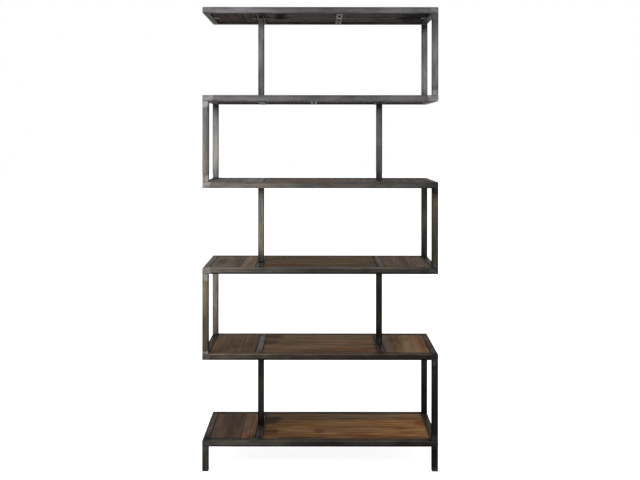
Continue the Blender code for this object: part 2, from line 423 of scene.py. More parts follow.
class Effects:
    """Every node group of the etagere, built once."""

    def __init__(self) -> None:
        """Builds the groups."""
        self.drawn_tube = self._drawn_tube()
        self.ground_joint = self._ground_joint()
        self.tube_corner = self._tube_corner()
        self.board_grain = self._board_grain()
        self.knot = self._knot()
        self.spot = self._spot()

    def _drawn_tube(self) -> NodeTree:
        """Mill scale, drawing lines and pits of tube. The vector's X runs along the tube.

        Returns:
            The group.
        """
        made = Effect("drawn_tube", "Vector")
        g, (vector,) = made.graph, made.enter
        mottle = g.pattern(vector, (11, 44, 44), 0.34, 0.66, 5.0, 0.62, 0.4)
        streak = g.pattern(vector, (9, 240, 240), 0.32, 0.68, 2.0, 0.6)
        pit = g.pattern(vector, 310.0, 0.64, 0.74, 1.0)
        drift = g.pattern(vector, (5.5, 14, 14), 0.36, 0.64)
        height = g.total(0.45, (streak, 0.30), (mottle, 0.35), (pit, -0.45))
        return made.put(mottle=mottle, streak=streak, pit=pit, drift=drift, height=height)

    def _ground_joint(self) -> NodeTree:
        """The patch that is ground bright beside a weld, and the heat colours round it.

        Returns:
            The group.
        """
        made = Effect("ground_joint", "Vector", "Distance", "Reach")
        g, (vector, distance, reach) = made.graph, made.enter
        past = (g.noise(vector, 62.0, 3.0, 0.6) - 0.5) * 0.030 + distance - reach
        ground = g.remap(past, 0.0015, -0.0045)
        heat = g.remap(past, -0.002, 0.005) * g.remap(past, 0.024, 0.007)
        scratch = g.pattern(vector, (900, 130, 130), 0.35, 0.65, 1.0)
        return made.put(ground=ground, heat=heat, scratch=scratch)

    def _tube_corner(self) -> NodeTree:
        """The rounded long corners of a tube, where painted shade goes, from the distances across it and up
        it.

        Returns:
            The group.
        """
        made = Effect("tube_corner", "Across", "Up", "Wide")
        g, (across, up, wide) = made.graph, made.enter
        from_side = HALF_TUBE - g.least(abs(across), abs(up))
        return made.put(corner=g.remap(from_side, wide, wide * 0.3))

    def _board_grain(self) -> NodeTree:
        """Grain, fibres, pores, cracks and slow drift of a board. The vector's X runs along the board.

        Returns:
            The group.
        """
        made = Effect("board_grain", "Vector", "Coarse", "Stretch", "Wave")
        g, (vector, coarse, stretch, wave) = made.graph, made.enter
        bend = g.noise(vector, (2.2, 9, 9)) - 0.5
        along, across, up = g.split(vector)
        wavy = g.join(along, bend * wave + across, up)
        closeness = g.join(coarse * stretch, coarse, coarse)
        streaks = g.signal("ShaderNodeVectorMath", {0: wavy, 1: closeness}, operation="MULTIPLY")
        streak = g.pattern(streaks, 1.0, 0.33, 0.67, 4.0, 0.62)
        fibre = g.pattern(wavy, (9, 330, 330), 0.3, 0.7, 3.0, 0.6)
        pore = g.pattern(wavy, (26, 620, 620), 0.60, 0.70, 1.0)
        ridge = abs(g.math("FRACT", bend * 2.6 + across * 30.0) - 0.5)
        cracked = g.pattern(vector, (4.2, 34, 0.1), 0.60, 0.70, 0.0, move=(4, 9, 2))
        crack = g.remap(ridge, 0.022, 0.006) * cracked
        drift = g.pattern(vector, (3.4, 10, 10), 0.36, 0.64, move=(7, 3, 5))
        height = g.total(0.46, (fibre, 0.34), (streak, 0.20), (pore, -0.22), (crack, -0.75))
        return made.put(streak=streak, fibre=fibre, pore=pore, crack=crack, drift=drift, height=height)

    def _knot(self) -> NodeTree:
        """A knot: its dark heart, and how far it pushes the grain aside.

        Returns:
            The group.
        """
        made = Effect("knot", "Along", "Across", "Size")
        g, (along, across, size) = made.graph, made.enter
        wobble = (g.noise(g.join(along, across, 0.0), 150.0) - 0.5) * 0.9
        long_way, wide_way = along * 0.62 / size, across / size
        squares = long_way * long_way + wide_way * wide_way
        push = g.math("EXPONENT", squares * -0.16) * size * g.math("SIGN", wide_way)
        return made.put(heart=g.remap(g.math("SQRT", squares) + wobble, 1.15, 0.35), push=push)

    def _spot(self) -> NodeTree:
        """A soft mark with a ragged edge, for a stain or a patch of painted shade, longer along the board
        than across it.

        Returns:
            The group.
        """
        made = Effect("spot", "Along", "Across", "Long", "Wide")
        g, (along, across, long, wide) = made.graph, made.enter
        ragged = (g.noise(g.join(along, across, 0.0), (22, 130, 1), 3.0, 0.6) - 0.5) * 2.0
        long_way, wide_way = along / long, across / wide
        radius = g.math("SQRT", long_way * long_way + wide_way * wide_way) + ragged
        return made.put(mask=g.remap(radius, 1.2, 0.5))


class Surface(Graph):
    """The graph of a new material.

    Its vector holds object coordinates, which are the row frame's because every piece sits at the origin.
    """

    def __init__(self, name: str) -> None:
        """Makes the material, with one Principled shader.

        Args:
            name: Name of the material.
        """
        self.material = bpy.data.materials.new(name)
        self.material.use_nodes = True
        super().__init__(self.material.node_tree)
        self.vector = self.signal("ShaderNodeTexCoord", output="Object")

    def close(
        self, colour: Signal, rough: Signal, height: Signal, strength: float, depth: float, **fixed: Value
    ) -> Material:
        """Feeds the shader.

        Args:
            colour: Base colour.
            rough: Roughness.
            height: Height of the fine relief.
            strength: Strength of the relief.
            depth: Depth of the relief in metres.
            **fixed: Constants for its other inputs, with an underscore for each space.

        Returns:
            The finished material.
        """
        shader = self.tree.nodes["Principled BSDF"]
        relief = {"Height": height, "Strength": strength, "Distance": depth}
        normal = self.signal("ShaderNodeBump", relief)
        inputs = {"Base_Color": colour, "Roughness": rough, "Normal": normal, **fixed}
        for name, value in inputs.items():
            self.feed(shader.inputs[name.replace("_", " ")], value)
        return self.material


def dress(piece: Piece, material: Material) -> None:
    """Gives a piece one material, in place of any that it came with."""
    piece.data.materials.clear()
    piece.data.materials.append(material)


@dataclass(frozen=True)
class SteelFinish:
    """Raw steel tube, darkened and waxed, with bright ground joints, and with painted light and shade in its
    greys.

    Attributes:
        levels: Greys at even stations along the piece, from its low end to its high end: the steel's own tone
            with painted light and shade, lighter high up and to the left, darker low down and to the right.
        tops: Greys of the upper faces and edges of a level tube, at even stations, as painted light from
            above.
        rails: Greys of the upper faces of a frame's left and right rails, as painted light and shade.
        ground: Greys of the ground joints at the low end and the high end. Zero leaves a joint plain.
        tint: Cast of the whole piece.
        warm: Cast of its warmer stretches.
        patch: Cast of its ground joints.
        rear: Share of the tone that is left on a frame's rear rail, as painted shade.
        foot: Share of the tone that is left along the lower edge of a level tube, as painted shade.
        under: Shares of the tone that are left on the undersides of long rails and end rails, as painted
            shade.
        reach: How far a ground joint reaches along the tube.
        head_reach: The same for the joint at the high end, where it differs.
        heat: How strong the heat colours are beside it.
        contrast: How far mill scale and drawing lines depart from the level.
        lines: Share of the drawing lines in that pattern.
        corner: How much darker the rounded corners are, as painted shade.
        lean: How much lighter a post is towards its left side, and darker towards its right, as painted light
            and shade.
        roughness: Roughness of the plain tube.
    """

    levels: tuple[float, ...]
    tops: tuple[float, ...] = ()
    rails: tuple[float, ...] = ()
    ground: tuple[float, float] = (0.0, 0.0)
    tint: Tint = Tint.NEUTRAL
    warm: Tint = Tint.WARM
    patch: Tint = Tint.NEUTRAL
    rear: float = 0.45
    foot: float = 1.0
    under: tuple[float, float] = (0.20, 0.45)
    reach: float = 0.024
    head_reach: float = 0.0
    heat: float = 0.25
    contrast: float = 0.42
    lines: float = 0.30
    corner: float = 0.55
    lean: float = 0.0
    roughness: float = 0.42

    def _post(self, g: Graph, where: Places) -> Signal:
        """The plain colour up a post, with painted light and shade in its greys and across it.

        Args:
            g: The material's graph.
            where: The layout's signals.

        Returns:
            The colour.
        """
        colour = g.greys(where["share"], self.levels, self.tint)
        if not self.lean:
            return colour
        # Painted light towards the post's left side and painted shade towards its right.
        return g.shade(colour, g.line(where["across"], -HALF_TUBE, HALF_TUBE, 1 + self.lean, 1 - self.lean))

    def _level_tube(self, g: Graph, where: Places) -> Signal:
        """The plain colour of a level tube, with its upper, lower and side faces: painted light on the upper
        faces and painted shade low down and below.

        Args:
            g: The material's graph.
            where: The layout's signals.

        Returns:
            The colour.
        """
        share = where["share"]
        colour = g.greys(share, self.levels, self.tint)
        # Painted light from above on the upper faces and edges, and painted light and shade on the end rails'
        # upper faces.
        top = g.greys(share, self.tops or [level * 0.94 for level in self.levels], self.tint)
        if self.rails:
            top = g.mix(where["end"], top, g.greys(share, self.rails, self.tint))
        # Painted shade in a line below the upper faces.
        colour = g.shade(colour, 0.66, where["line"])
        # Painted shade along the lower edge.
        colour = g.shade(colour, self.foot, where["foot"])
        colour = g.mix(where["over"], colour, top)
        if "rear" in where:
            # Painted shade on the rear rail.
            colour = g.shade(colour, self.rear, where["rear"])
            colour = g.shade(colour, BRIGHT_PLATE, where["plate"])
        # Painted shade on the undersides.
        left = g.line(where["end"], 0.0, 1.0, *self.under) if "end" in where else self.under[0]
        return g.shade(colour, left, where["under"])

    def _joint(self, g: Graph, where: Places, tube: Places, joint: Places) -> Signal:
        """The colour of a ground joint, brushed and scratched, with painted shade on its underside.

        Args:
            g: The material's graph.
            where: The layout's signals.
            tube: The drawn tube's signals.
            joint: The ground joint's signals.

        Returns:
            The colour.
        """
        ends = [self.ground[k] or self.levels[-k] for k in (0, 1)]
        mottled = g.total(0.0, (tube["Mottle"], 0.6), (joint["Scratch"], 0.4))
        brushed = g.ramp(mottled, (0.2, BRUSHED_LOW), (0.8, BRUSHED_HIGH))
        bright = g.shade(g.greys(where["share"], ends, self.patch), brushed)
        return g.shade(bright, 0.25, where["under"]) if "under" in where else bright

    def finish(self, name: str, effects: Effects, lay_out: LayOut) -> Material:
        """Makes the material.

        Args:
            name: Name of the material.
            effects: The shared node groups.
            lay_out: Gives the vector along the tube, the share of its length, the distance from a
                joint, and the places across the tube and up it.

        Returns:
            The material.
        """
        g = Surface(name)
        where = lay_out(g)
        level = "over" in where
        tube = g.group(effects.drawn_tube, {"Vector": where["vector"]})
        reach: Value = self.reach
        if self.head_reach:
            reach = g.line(where["share"], 0.4, 0.6, self.reach, self.head_reach)
        inputs = {"Vector": where["vector"], "Distance": where["distance"], "Reach": reach}
        joint = g.group(effects.ground_joint, inputs)
        scale = (tube["Mottle"], 0.82 - self.lines)
        grain = g.total(0.0, scale, (tube["Streak"], self.lines), (tube["Drift"], 0.18))
        colour = self._level_tube(g, where) if level else self._post(g, where)
        colour = g.shade(colour, g.line(grain, 0.0, 1.0, 1 - self.contrast, 1 + self.contrast))
        colour = g.shade(colour, self.warm.value, tube["Drift"] * 0.7)
        cleaned = joint["Ground"] * where.get("cleaned", 0.9)
        colour = g.mix(cleaned, colour, self._joint(g, where, tube, joint))
        colour = g.shade(colour, HEATED, joint["Heat"] * self.heat)
        # Painted shade on the rounded corners, weaker on the lit upper faces.
        edges = {"Across": where["across"], "Up": where["up"], "Wide": LEVEL_EDGE if level else POST_EDGE}
        corner = g.group(effects.tube_corner, edges)["Corner"]
        if level:
            corner = corner * g.line(where["over"], 0.0, 1.0, 1.0, 0.2)
        colour = g.shade(colour, 0.3, corner * self.corner)
        if "soot" in where:
            colour = g.shade(colour, SOOTED, where["soot"])
        colour = g.shade(colour, PITTED, tube["Pit"] * 0.55)
        if "seam" in where:
            colour = g.shade(colour, MITRED, where["seam"] * 0.6)
        rough = g.total(
            self.roughness + 0.06, (tube["Mottle"], -0.12), (joint["Ground"], 0.06), (tube["Pit"], 0.2)
        )
        height = g.total(0.1, (tube["Height"], 0.8), (joint["Scratch"], 0.08), (joint["Ground"], -0.1))
        sheen = {"Metallic": 0.9, "Specular_IOR_Level": 0.2, "Specular_Tint": (0.4, 0.4, 0.4)}
        return g.close(colour, rough, height, 0.35, 0.0004, **sheen)


def level_faces(g: Graph, up: Signal) -> Places:
    """The zones of a level tube, from the height above its middle.

    Args:
        g: The material's graph.
        up: Height above the tube's middle.

    Returns:
        Masks of the underside, the upper side, the line below it and the lower edge: the upper side gets
        painted light, the others painted shade.
    """
    from_foot, from_top = up + HALF_TUBE, HALF_TUBE - up
    return {
        "under": g.remap(from_foot, 0.0010, 0.0002),
        "over": g.remap(from_top, 0.0052, 0.0036),
        "line": g.remap(abs(from_top - 0.0066), 0.0020, 0.0006),
        "foot": g.remap(from_foot, 0.0086, 0.0050),
    }


def straight_tube(
    axis: Axis, low: Vector, high: Vector, soot: float = 0.0, below: bool = False
) -> LayOut:
    """Lays the steel finish out along a straight tube.

    Args:
        axis: Direction of the tube.
        low: Lowest corner of its box.
        high: Highest corner of its box.
        soot: How far the scorch reaches round a post that is welded to the middle of the tube.
        below: True where that post is welded under the tube.

    Returns:
        A function that places the nodes in a graph.
    """
    centre = (low + high) / 2
    half = (high - low)[axis.value[0]] / 2

    def lay_out(g: Surface) -> Places:
        """Places the nodes.

        Args:
            g: The material's graph.

        Returns:
            The layout's signals.
        """
        parts = g.split(g.vector)
        local = g.split(g.place(g.vector, -centre))
        along, across, up = (local[k] for k in axis.value)
        where = {
            "vector": g.join(*(parts[k] for k in axis.value)),
            "share": g.line(along, -half, half),
            "distance": half - abs(along),
            "across": across,
            "up": up,
        }
        if soot:
            ragged = g.noise(g.vector, 70.0, 3.0) * 0.02 + abs(along)
            dark_patched = g.remap(ragged, HALF_TUBE + 0.010 + soot, HALF_TUBE + (0.0 if below else 0.010))
            where["soot"] = dark_patched * g.math("LESS_THAN" if below else "GREATER_THAN", up, 0.0)
        if axis is not Axis.Z:
            where.update(level_faces(g, up))
        return where

    return lay_out


def mitred_ring(low: Vector, high: Vector, strap: float) -> LayOut:
    """Lays the steel finish out round a mitred frame of four tubes.

    Args:
        low: Lowest corner of its box.
        high: Highest corner of its box.
        strap: Place of the strap along X, whose bolts have dark rings.

    Returns:
        A function that places the nodes in a graph.
    """

    def lay_out(g: Surface) -> Places:
        """Places the nodes.

        Args:
            g: The material's graph.

        Returns:
            The layout's signals.
        """
        x, y, z = g.split(g.vector)
        from_end, from_front = high.x - abs(x), high.y - abs(y)
        farther = g.most(from_end, from_front)
        end_rail = g.math("LESS_THAN", from_end, from_front)
        across = g.least(from_end, from_front) - HALF_TUBE
        up = z - (low.z + high.z) / 2
        mitre = g.remap(abs(from_end - from_front), 0.0011, 0.0004)
        offset = g.join(x - strap, abs(y) - BOLT_STEP, 0.0)
        from_bolt = g.signal("ShaderNodeVectorMath", {0: offset}, "Value", operation="LENGTH")
        return {
            "vector": g.mix(end_rail, g.join(x, y, z), g.join(y, x, z)),
            "share": g.line(x, -high.x, high.x),
            "distance": farther,
            "across": across,
            "up": up,
            "end": end_rail,
            # The rear rail, for its painted shade.
            "rear": g.math("GREATER_THAN", y, 0.0) * (1.0 - end_rail),
            "soot": g.remap(from_bolt, 0.011, 0.006) * g.math("LESS_THAN", up, 0.0),
            "plate": g.math("GREATER_THAN", across, HALF_TUBE + 0.001),
            "seam": mitre * g.math("LESS_THAN", farther, TUBE),
            "cleaned": g.line(y, -0.05, 0.05, 0.9, 0.18),
            **level_faces(g, up),
        }

    return lay_out


class Wood(Enum):
    """Kind of reclaimed board: its dark, middle and light colours on the screen."""

    WALNUT = ((46, 33, 25), (74, 57, 45), (96, 77, 60))
    ROSE = ((80, 58, 44), (112, 86, 68), (138, 108, 86))
    TAN = ((76, 48, 26), (118, 84, 48), (150, 112, 70))
    UMBER = ((66, 48, 34), (102, 79, 55), (128, 102, 74))
    OLIVE = ((60, 46, 28), (82, 66, 42), (102, 85, 58))
    ASH = ((72, 60, 48), (100, 86, 70), (120, 104, 86))
    PLUM = ((54, 42, 38), (82, 67, 58), (106, 88, 76))
    SAND = ((82, 62, 42), (114, 93, 66), (138, 116, 86))


@dataclass(frozen=True)
class Mark:
    """A knot, a stain or a patch of painted shade, placed by shares of the board's length and width.

    Attributes:
        along: Share of the length, from the left or the front.
        across: Share of the width, from the left or the front.
        long: Reach along the board, in metres. A knot uses it as its size.
        wide: Reach across the board, in metres. Zero makes the mark a knot.
        colour: Colour of a stain.
        strength: How strongly it covers the wood.
        below: True keeps a mark to the underside, where it is painted shade.
    """

    along: float
    across: float
    long: float
    wide: float = 0.0
    colour: Colour = (0.0, 0.0, 0.0)
    strength: float = 0.8
    below: bool = False


@dataclass(frozen=True)
class Board:
    """One board, from its box.

    Attributes:
        name: Name of the piece.
        axis: Direction of its grain.
        low: Lowest corner of its box.
        high: Highest corner of its box.
        outer: Whether its left or front side, and its other side, lie against steel.
        arris: Width of the worn arrises.
        wave: Usual distance between the stations where the arrises waver.
    """

    name: str
    axis: Axis
    low: Vector
    high: Vector
    outer: tuple[bool, bool]
    arris: float = 0.0013
    wave: float = 0.035

    def model(self) -> Piece:
        """Models the board with worn, slightly wavy arrises.

        Returns:
            The board, without a material.
        """
        chance = random.Random(self.name)
        along = self.axis.value[0]
        length = self.high[along] - self.low[along]
        start_piece()
        middle = (self.low + self.high) / 2
        bpy.ops.mesh.primitive_cube_add(size=1, location=middle, scale=self.high - self.low)
        board = newest(self.name)
        cuts = max(6, round(length / self.wave))
        with shaping(board):
            for cut in range(1, cuts):
                place = self.low.copy()
                place[along] += length * (cut + chance.uniform(-0.3, 0.3)) / cuts
                bpy.ops.mesh.select_all(action="SELECT")
                bpy.ops.mesh.bisect(plane_co=place, plane_no=[float(k == along) for k in range(3)])
            pick("EDGE", self._on_rim)
            bpy.ops.mesh.bevel(offset=self.arris, segments=2, affect="EDGES")
            pick("VERT", self._on_arris)
            seed = chance.randrange(1000)
            bpy.ops.transform.vertex_random(offset=self.arris * 0.28, uniform=1.0, seed=seed)
            tidy_shell()
        smooth(32)
        return board

    def _on_rim(self, edge: bmesh.types.BMEdge) -> bool:
        """True where an edge lies on two sides of the board's box at once."""
        limits = [(k, corner[k]) for k in range(3) for corner in (self.low, self.high)]
        return sum(all(abs(v.co[k] - limit) < 1e-5 for v in edge.verts) for k, limit in limits) >= 2

    def _on_arris(self, v: bmesh.types.BMVert) -> bool:
        """True for the middle line of a bevelled arris."""
        inner = self.arris * 0.6
        return sum(min(v.co[k] - self.low[k], self.high[k] - v.co[k]) < inner for k in range(3)) >= 2


@dataclass(frozen=True)
class WoodFinish:
    """A worn, waxed board, with painted shade at its ends, beside the steel and on its underside.

    Attributes:
        wood: Kind of board.
        shade: How much lighter or darker it is than its kind.
        ends: How much lighter or darker its left or front end and its other end are.
        under_ends: The same for the underside, on top of that, as painted shade.
        coarse: How close together its streaks lie, per metre.
        stretch: Width of a streak as a share of its length.
        wave: How far its grain swings to the sides, in metres.
        marks: Its knots and stains.
        contrast: How strong its streaks are.
        warmth: How red its redder stretches are.
        under: Share of the tone that is left on the underside, greyed, as painted shade.
        gloss: Specular level of the wax.
        seams: How dark its long sides are, where boards meet.
        rim: How dark it is beside the steel, as painted shade.
    """

    wood: Wood
    shade: float = 1.0
    ends: tuple[float, float] = (1.0, 1.0)
    under_ends: tuple[float, float] = (1.0, 1.0)
    coarse: float = 50.0
    stretch: float = 0.075
    wave: float = 0.022
    marks: tuple[Mark, ...] = ()
    contrast: float = 0.8
    warmth: float = 0.3
    under: float = 0.33
    gloss: float = 0.06
    seams: float = 0.8
    rim: float = 0.9

    def finish(self, effects: Effects, board: Board) -> Material:
        """Makes the material of one board.

        Args:
            effects: The shared node groups.
            board: The board that it is for.

        Returns:
            The material.
        """
        g = Surface(board.name)
        order = board.axis.value
        length, width, _ = ((board.high - board.low)[k] for k in order)
        local = g.split(g.place(g.vector, -board.low))
        along, across, up = (local[k] for k in order)
        below = g.remap(up, 0.0016, 0.0006)
        bent, heart, matt = across, 0.0, 0.0
        stains = []
        for mark in self.marks:
            inputs = {"Along": along - mark.along * length, "Across": across - mark.across * width}
            if mark.wide:
                spot = g.group(effects.spot, {**inputs, "Long": mark.long, "Wide": mark.wide})
                cover = spot["Mask"] * mark.strength
                stains.append((cover * below if mark.below else cover, mark.colour))
            else:
                knot = g.group(effects.knot, {**inputs, "Size": mark.long})
                bent = bent - knot["Push"]
                heart = g.most(heart, knot["Heart"] * mark.strength)
        seed = random.Random(board.name)
        vector = g.place(g.join(along, bent, up), tuple(seed.uniform(1, 30) for _ in range(3)))
        inputs = {"Vector": vector, "Coarse": self.coarse, "Stretch": self.stretch, "Wave": self.wave}
        grain = g.group(effects.board_grain, inputs)
        dark, middle, light = (scaled(paint(*tone), self.shade) for tone in self.wood.value)
        streaks = (grain["Streak"], 0.60 * self.contrast)
        tone = g.total(0.30 - 0.30 * self.contrast, streaks, (grain["Fibre"], 0.24), (grain["Drift"], 0.16))
        colour = g.ramp(tone, (0.08, dark), (0.5, middle), (0.92, light))
        colour = g.shade(colour, RED_WOOD, grain["Drift"] * self.warmth)
        colour = g.shade(colour, g.line(along, 0.0, length, *self.ends))
        # Stains, and patches of painted shade where a mark keeps to the underside.
        for cover, stain in stains:
            matt = g.most(matt, cover)
            colour = g.mix(cover, colour, g.mix(0.55, g.shade(colour, scaled(stain, 6.0)), stain))
        colour = g.mix(grain["Pore"] * 0.45, colour, scaled(dark, 0.6))
        height = grain["Height"]
        if heart:
            colour = g.mix(heart, colour, scaled(dark, 0.45))
            height = height - heart * 0.25
        # Painted shade within 2 cm of the board's ends, and the dark seams along its long sides.
        ends = g.least(along, length - along)
        sides = g.least(across, width - across)
        end_shade_and_seams = g.most(g.remap(ends, 0.020, 0.0), g.remap(sides, 0.0045, 0.0, 0.0, self.seams))
        colour = g.mix(end_shade_and_seams * g.remap(grain["Fibre"], 0.0, 1.0, 0.75, 0.25), colour, scaled(dark, 0.55))
        # Painted shade beside the steel.
        rim = ends
        for beside, from_steel in zip(board.outer, (across, width - across)):
            rim = g.least(rim, from_steel) if beside else rim
        colour = g.mix(g.remap(rim, 0.0058, 0.0020, 0.0, self.rim), colour, scaled(dark, 0.2))
        colour = g.mix(grain["Crack"] * 0.9, colour, scaled(dark, 0.22))
        # Painted shade on the underside, greyed, and darker or lighter towards its ends as under_ends says.
        underside_shaded = g.shade(colour, scaled(SHADED_UNDERSIDE, self.under))
        colour = g.mix(below, colour, g.shade(underside_shaded, g.line(along, 0.0, length, *self.under_ends)))
        rough = g.total(
            0.66, (grain["Fibre"], 0.14), (grain["Streak"], -0.08), (grain["Crack"], 0.2), (matt, 0.25)
        )
        return g.close(colour, rough, height, 0.5, 0.0009, Specular_IOR_Level=self.gloss)


@dataclass(frozen=True)
class BeadFinish:
    """Weld metal, darker low down and lighter on the upper shelves: its own tone with painted shade and
    light.

    Attributes:
        levels: Greys of the welds at even stations from the floor to the top, with painted shade low down and
            painted light high up.
        height: Height of the etagere.
    """

    levels: tuple[float, ...] = (14.0, 18.0, 26.0, 70.0, 110.0)
    height: float = 2.0

    def finish(self, name: str) -> Material:
        """Makes the material.

        Args:
            name: Name of the material.

        Returns:
            The material.
        """
        g = Surface(name)
        cloud = g.pattern(g.vector, 190.0, 0.35, 0.65, 3.0, 0.6)
        colour = g.greys(g.line(g.split(g.vector)[2], 0.0, self.height), self.levels, Tint.PLAIN)
        colour = g.shade(colour, g.ramp(cloud, (0.0, (0.35,) * 3), (0.6, (1.0,) * 3), (1.0, (1.8,) * 3)))
        colour = g.shade(colour, BROWN_WELD, g.pattern(g.vector, 60.0, 0.4, 0.6) * 0.6)
        return g.close(colour, g.total(0.55, (cloud, -0.15)), cloud, 0.4, 0.0003, Metallic=0.8)


@dataclass(frozen=True)
class ScrewFinish:
    """Screw steel with a worn rim.

    Attributes:
        colour: Plain colour of the head.
        roughness: Roughness of the head.
    """

    colour: Colour
    roughness: float

    def finish(self, name: str) -> Material:
        """Makes the material.

        Args:
            name: Name of the material.

        Returns:
            The material.
        """
        g = Surface(name)
        cloud = g.pattern(g.vector, 420.0, 0.3, 0.7, 3.0, 0.6)
        colour = g.ramp(cloud, (0.0, scaled(self.colour, 0.55)), (1.0, scaled(self.colour, 1.3)))
        colour = g.mix(g.pattern(g.vector, 900.0, 0.55, 0.7, 1.0) * 0.5, colour, scaled(self.colour, 2.0))
        rough = g.total(self.roughness - 0.1, (cloud, 0.2))
        return g.close(colour, rough, cloud, 0.3, 0.0001, Metallic=0.9)


@dataclass(frozen=True)
class GlideFinish:
    """Black moulded plastic, scuffed pale at its lower rim."""

    colour: Colour = paint(30, 30, 30)
    scuffed: Colour = paint(88, 86, 82)

    def finish(self, name: str) -> Material:
        """Makes the material.

        Args:
            name: Name of the material.

        Returns:
            The material.
        """
        g = Surface(name)
        grain = g.pattern(g.vector, 900.0, 0.3, 0.7)
        rim = g.remap(g.split(g.vector)[2], 0.0022, 0.0008)
        scuff = rim * g.pattern(g.vector, 160.0, 0.45, 0.6, 3.0, 0.7)
        colour = g.ramp(grain, (0.0, scaled(self.colour, 0.75)), (1.0, scaled(self.colour, 1.3)))
        colour = g.mix(scuff * 0.6, colour, self.scuffed)
        return g.close(colour, g.total(0.45, (grain, 0.15), (scuff, 0.2)), grain, 0.3, 0.0002)


@contextmanager
def shaping(piece: Piece) -> Iterator[None]:
    """Opens a piece in edit mode and closes it again.

    Args:
        piece: The piece to shape.
    """
    bpy.context.view_layer.objects.active = piece
    bpy.ops.object.mode_set(mode="EDIT")
    yield
    bpy.ops.object.mode_set(mode="OBJECT")


# What can be selected in edit mode, in the order of its three buttons, and where a mesh keeps it
KINDS = {"VERT": "verts", "EDGE": "edges", "FACE": "faces"}


def pick(kind: str, test: Callable[..., bool]) -> None:
    """In edit mode: selects what passes a test, and nothing else.

    Args:
        kind: VERT, EDGE or FACE.
        test: Says whether an element is selected.
    """
    bpy.context.tool_settings.mesh_select_mode = [name == kind for name in KINDS]
    bpy.ops.mesh.select_all(action="DESELECT")
    mesh = bpy.context.edit_object.data
    form = bmesh.from_edit_mesh(mesh)
    for item in getattr(form, KINDS[kind]):
        if test(item):
            item.select_set(True)
    form.select_flush_mode()
    bmesh.update_edit_mesh(mesh)


def start_piece() -> None:
    """Leaves edit mode and deselects everything, so that a new primitive is alone."""
    if bpy.context.mode != "OBJECT":
        bpy.ops.object.mode_set(mode="OBJECT")
    bpy.ops.object.select_all(action="DESELECT")


def only(piece: Piece) -> None:
    """Selects one piece alone and makes it active.

    Args:
        piece: The piece to select.
    """
    start_piece()
    piece.select_set(True)
    bpy.context.view_layer.objects.active = piece


def newest(name: str) -> Piece:
    """Names the piece that was just made, with its place, turn and scale put into its mesh.

    Args:
        name: Name of the piece.

    Returns:
        The piece.
    """
    piece = bpy.context.object
    piece.name = name
    only(piece)
    bpy.ops.object.transform_apply(location=True, rotation=True, scale=True)
    return piece


def copy_of(source: Piece, name: str, place: Sequence[float], turn: float = 0.0) -> Piece:
    """Copies a modelled piece, with its own mesh.

    Args:
        source: The piece to copy.
        name: Name of the copy.
        place: Where the copy's origin goes.
        turn: How the copy is turned about Z, in radians.

    Returns:
        The settled copy.
    """
    only(source)
    bpy.ops.object.duplicate(linked=False)
    bpy.context.object.rotation_euler = Euler((0, 0, turn))
    bpy.context.object.location = place
    return newest(name)


def join_all(pieces: Sequence[Piece], name: str) -> Piece:
    """Joins pieces into one and names it.

    Args:
        pieces: The pieces.
        name: Name of the whole.

    Returns:
        The whole, which is the first piece.
    """
    only(pieces[0])
    for piece in pieces:
        piece.select_set(True)
    bpy.ops.object.join()
    pieces[0].name = name
    return pieces[0]


def tidy_shell() -> None:
    """In edit mode: merges doubles and turns every face outwards."""
    bpy.ops.mesh.select_all(action="SELECT")
    bpy.ops.mesh.remove_doubles(threshold=0.00001)
    bpy.ops.mesh.normals_make_consistent(inside=False)


def smooth(degrees: float) -> None:
    """Shades the active piece smooth, but for edges that turn by more than an angle."""
    bpy.ops.object.shade_smooth_by_angle(angle=math.radians(degrees))


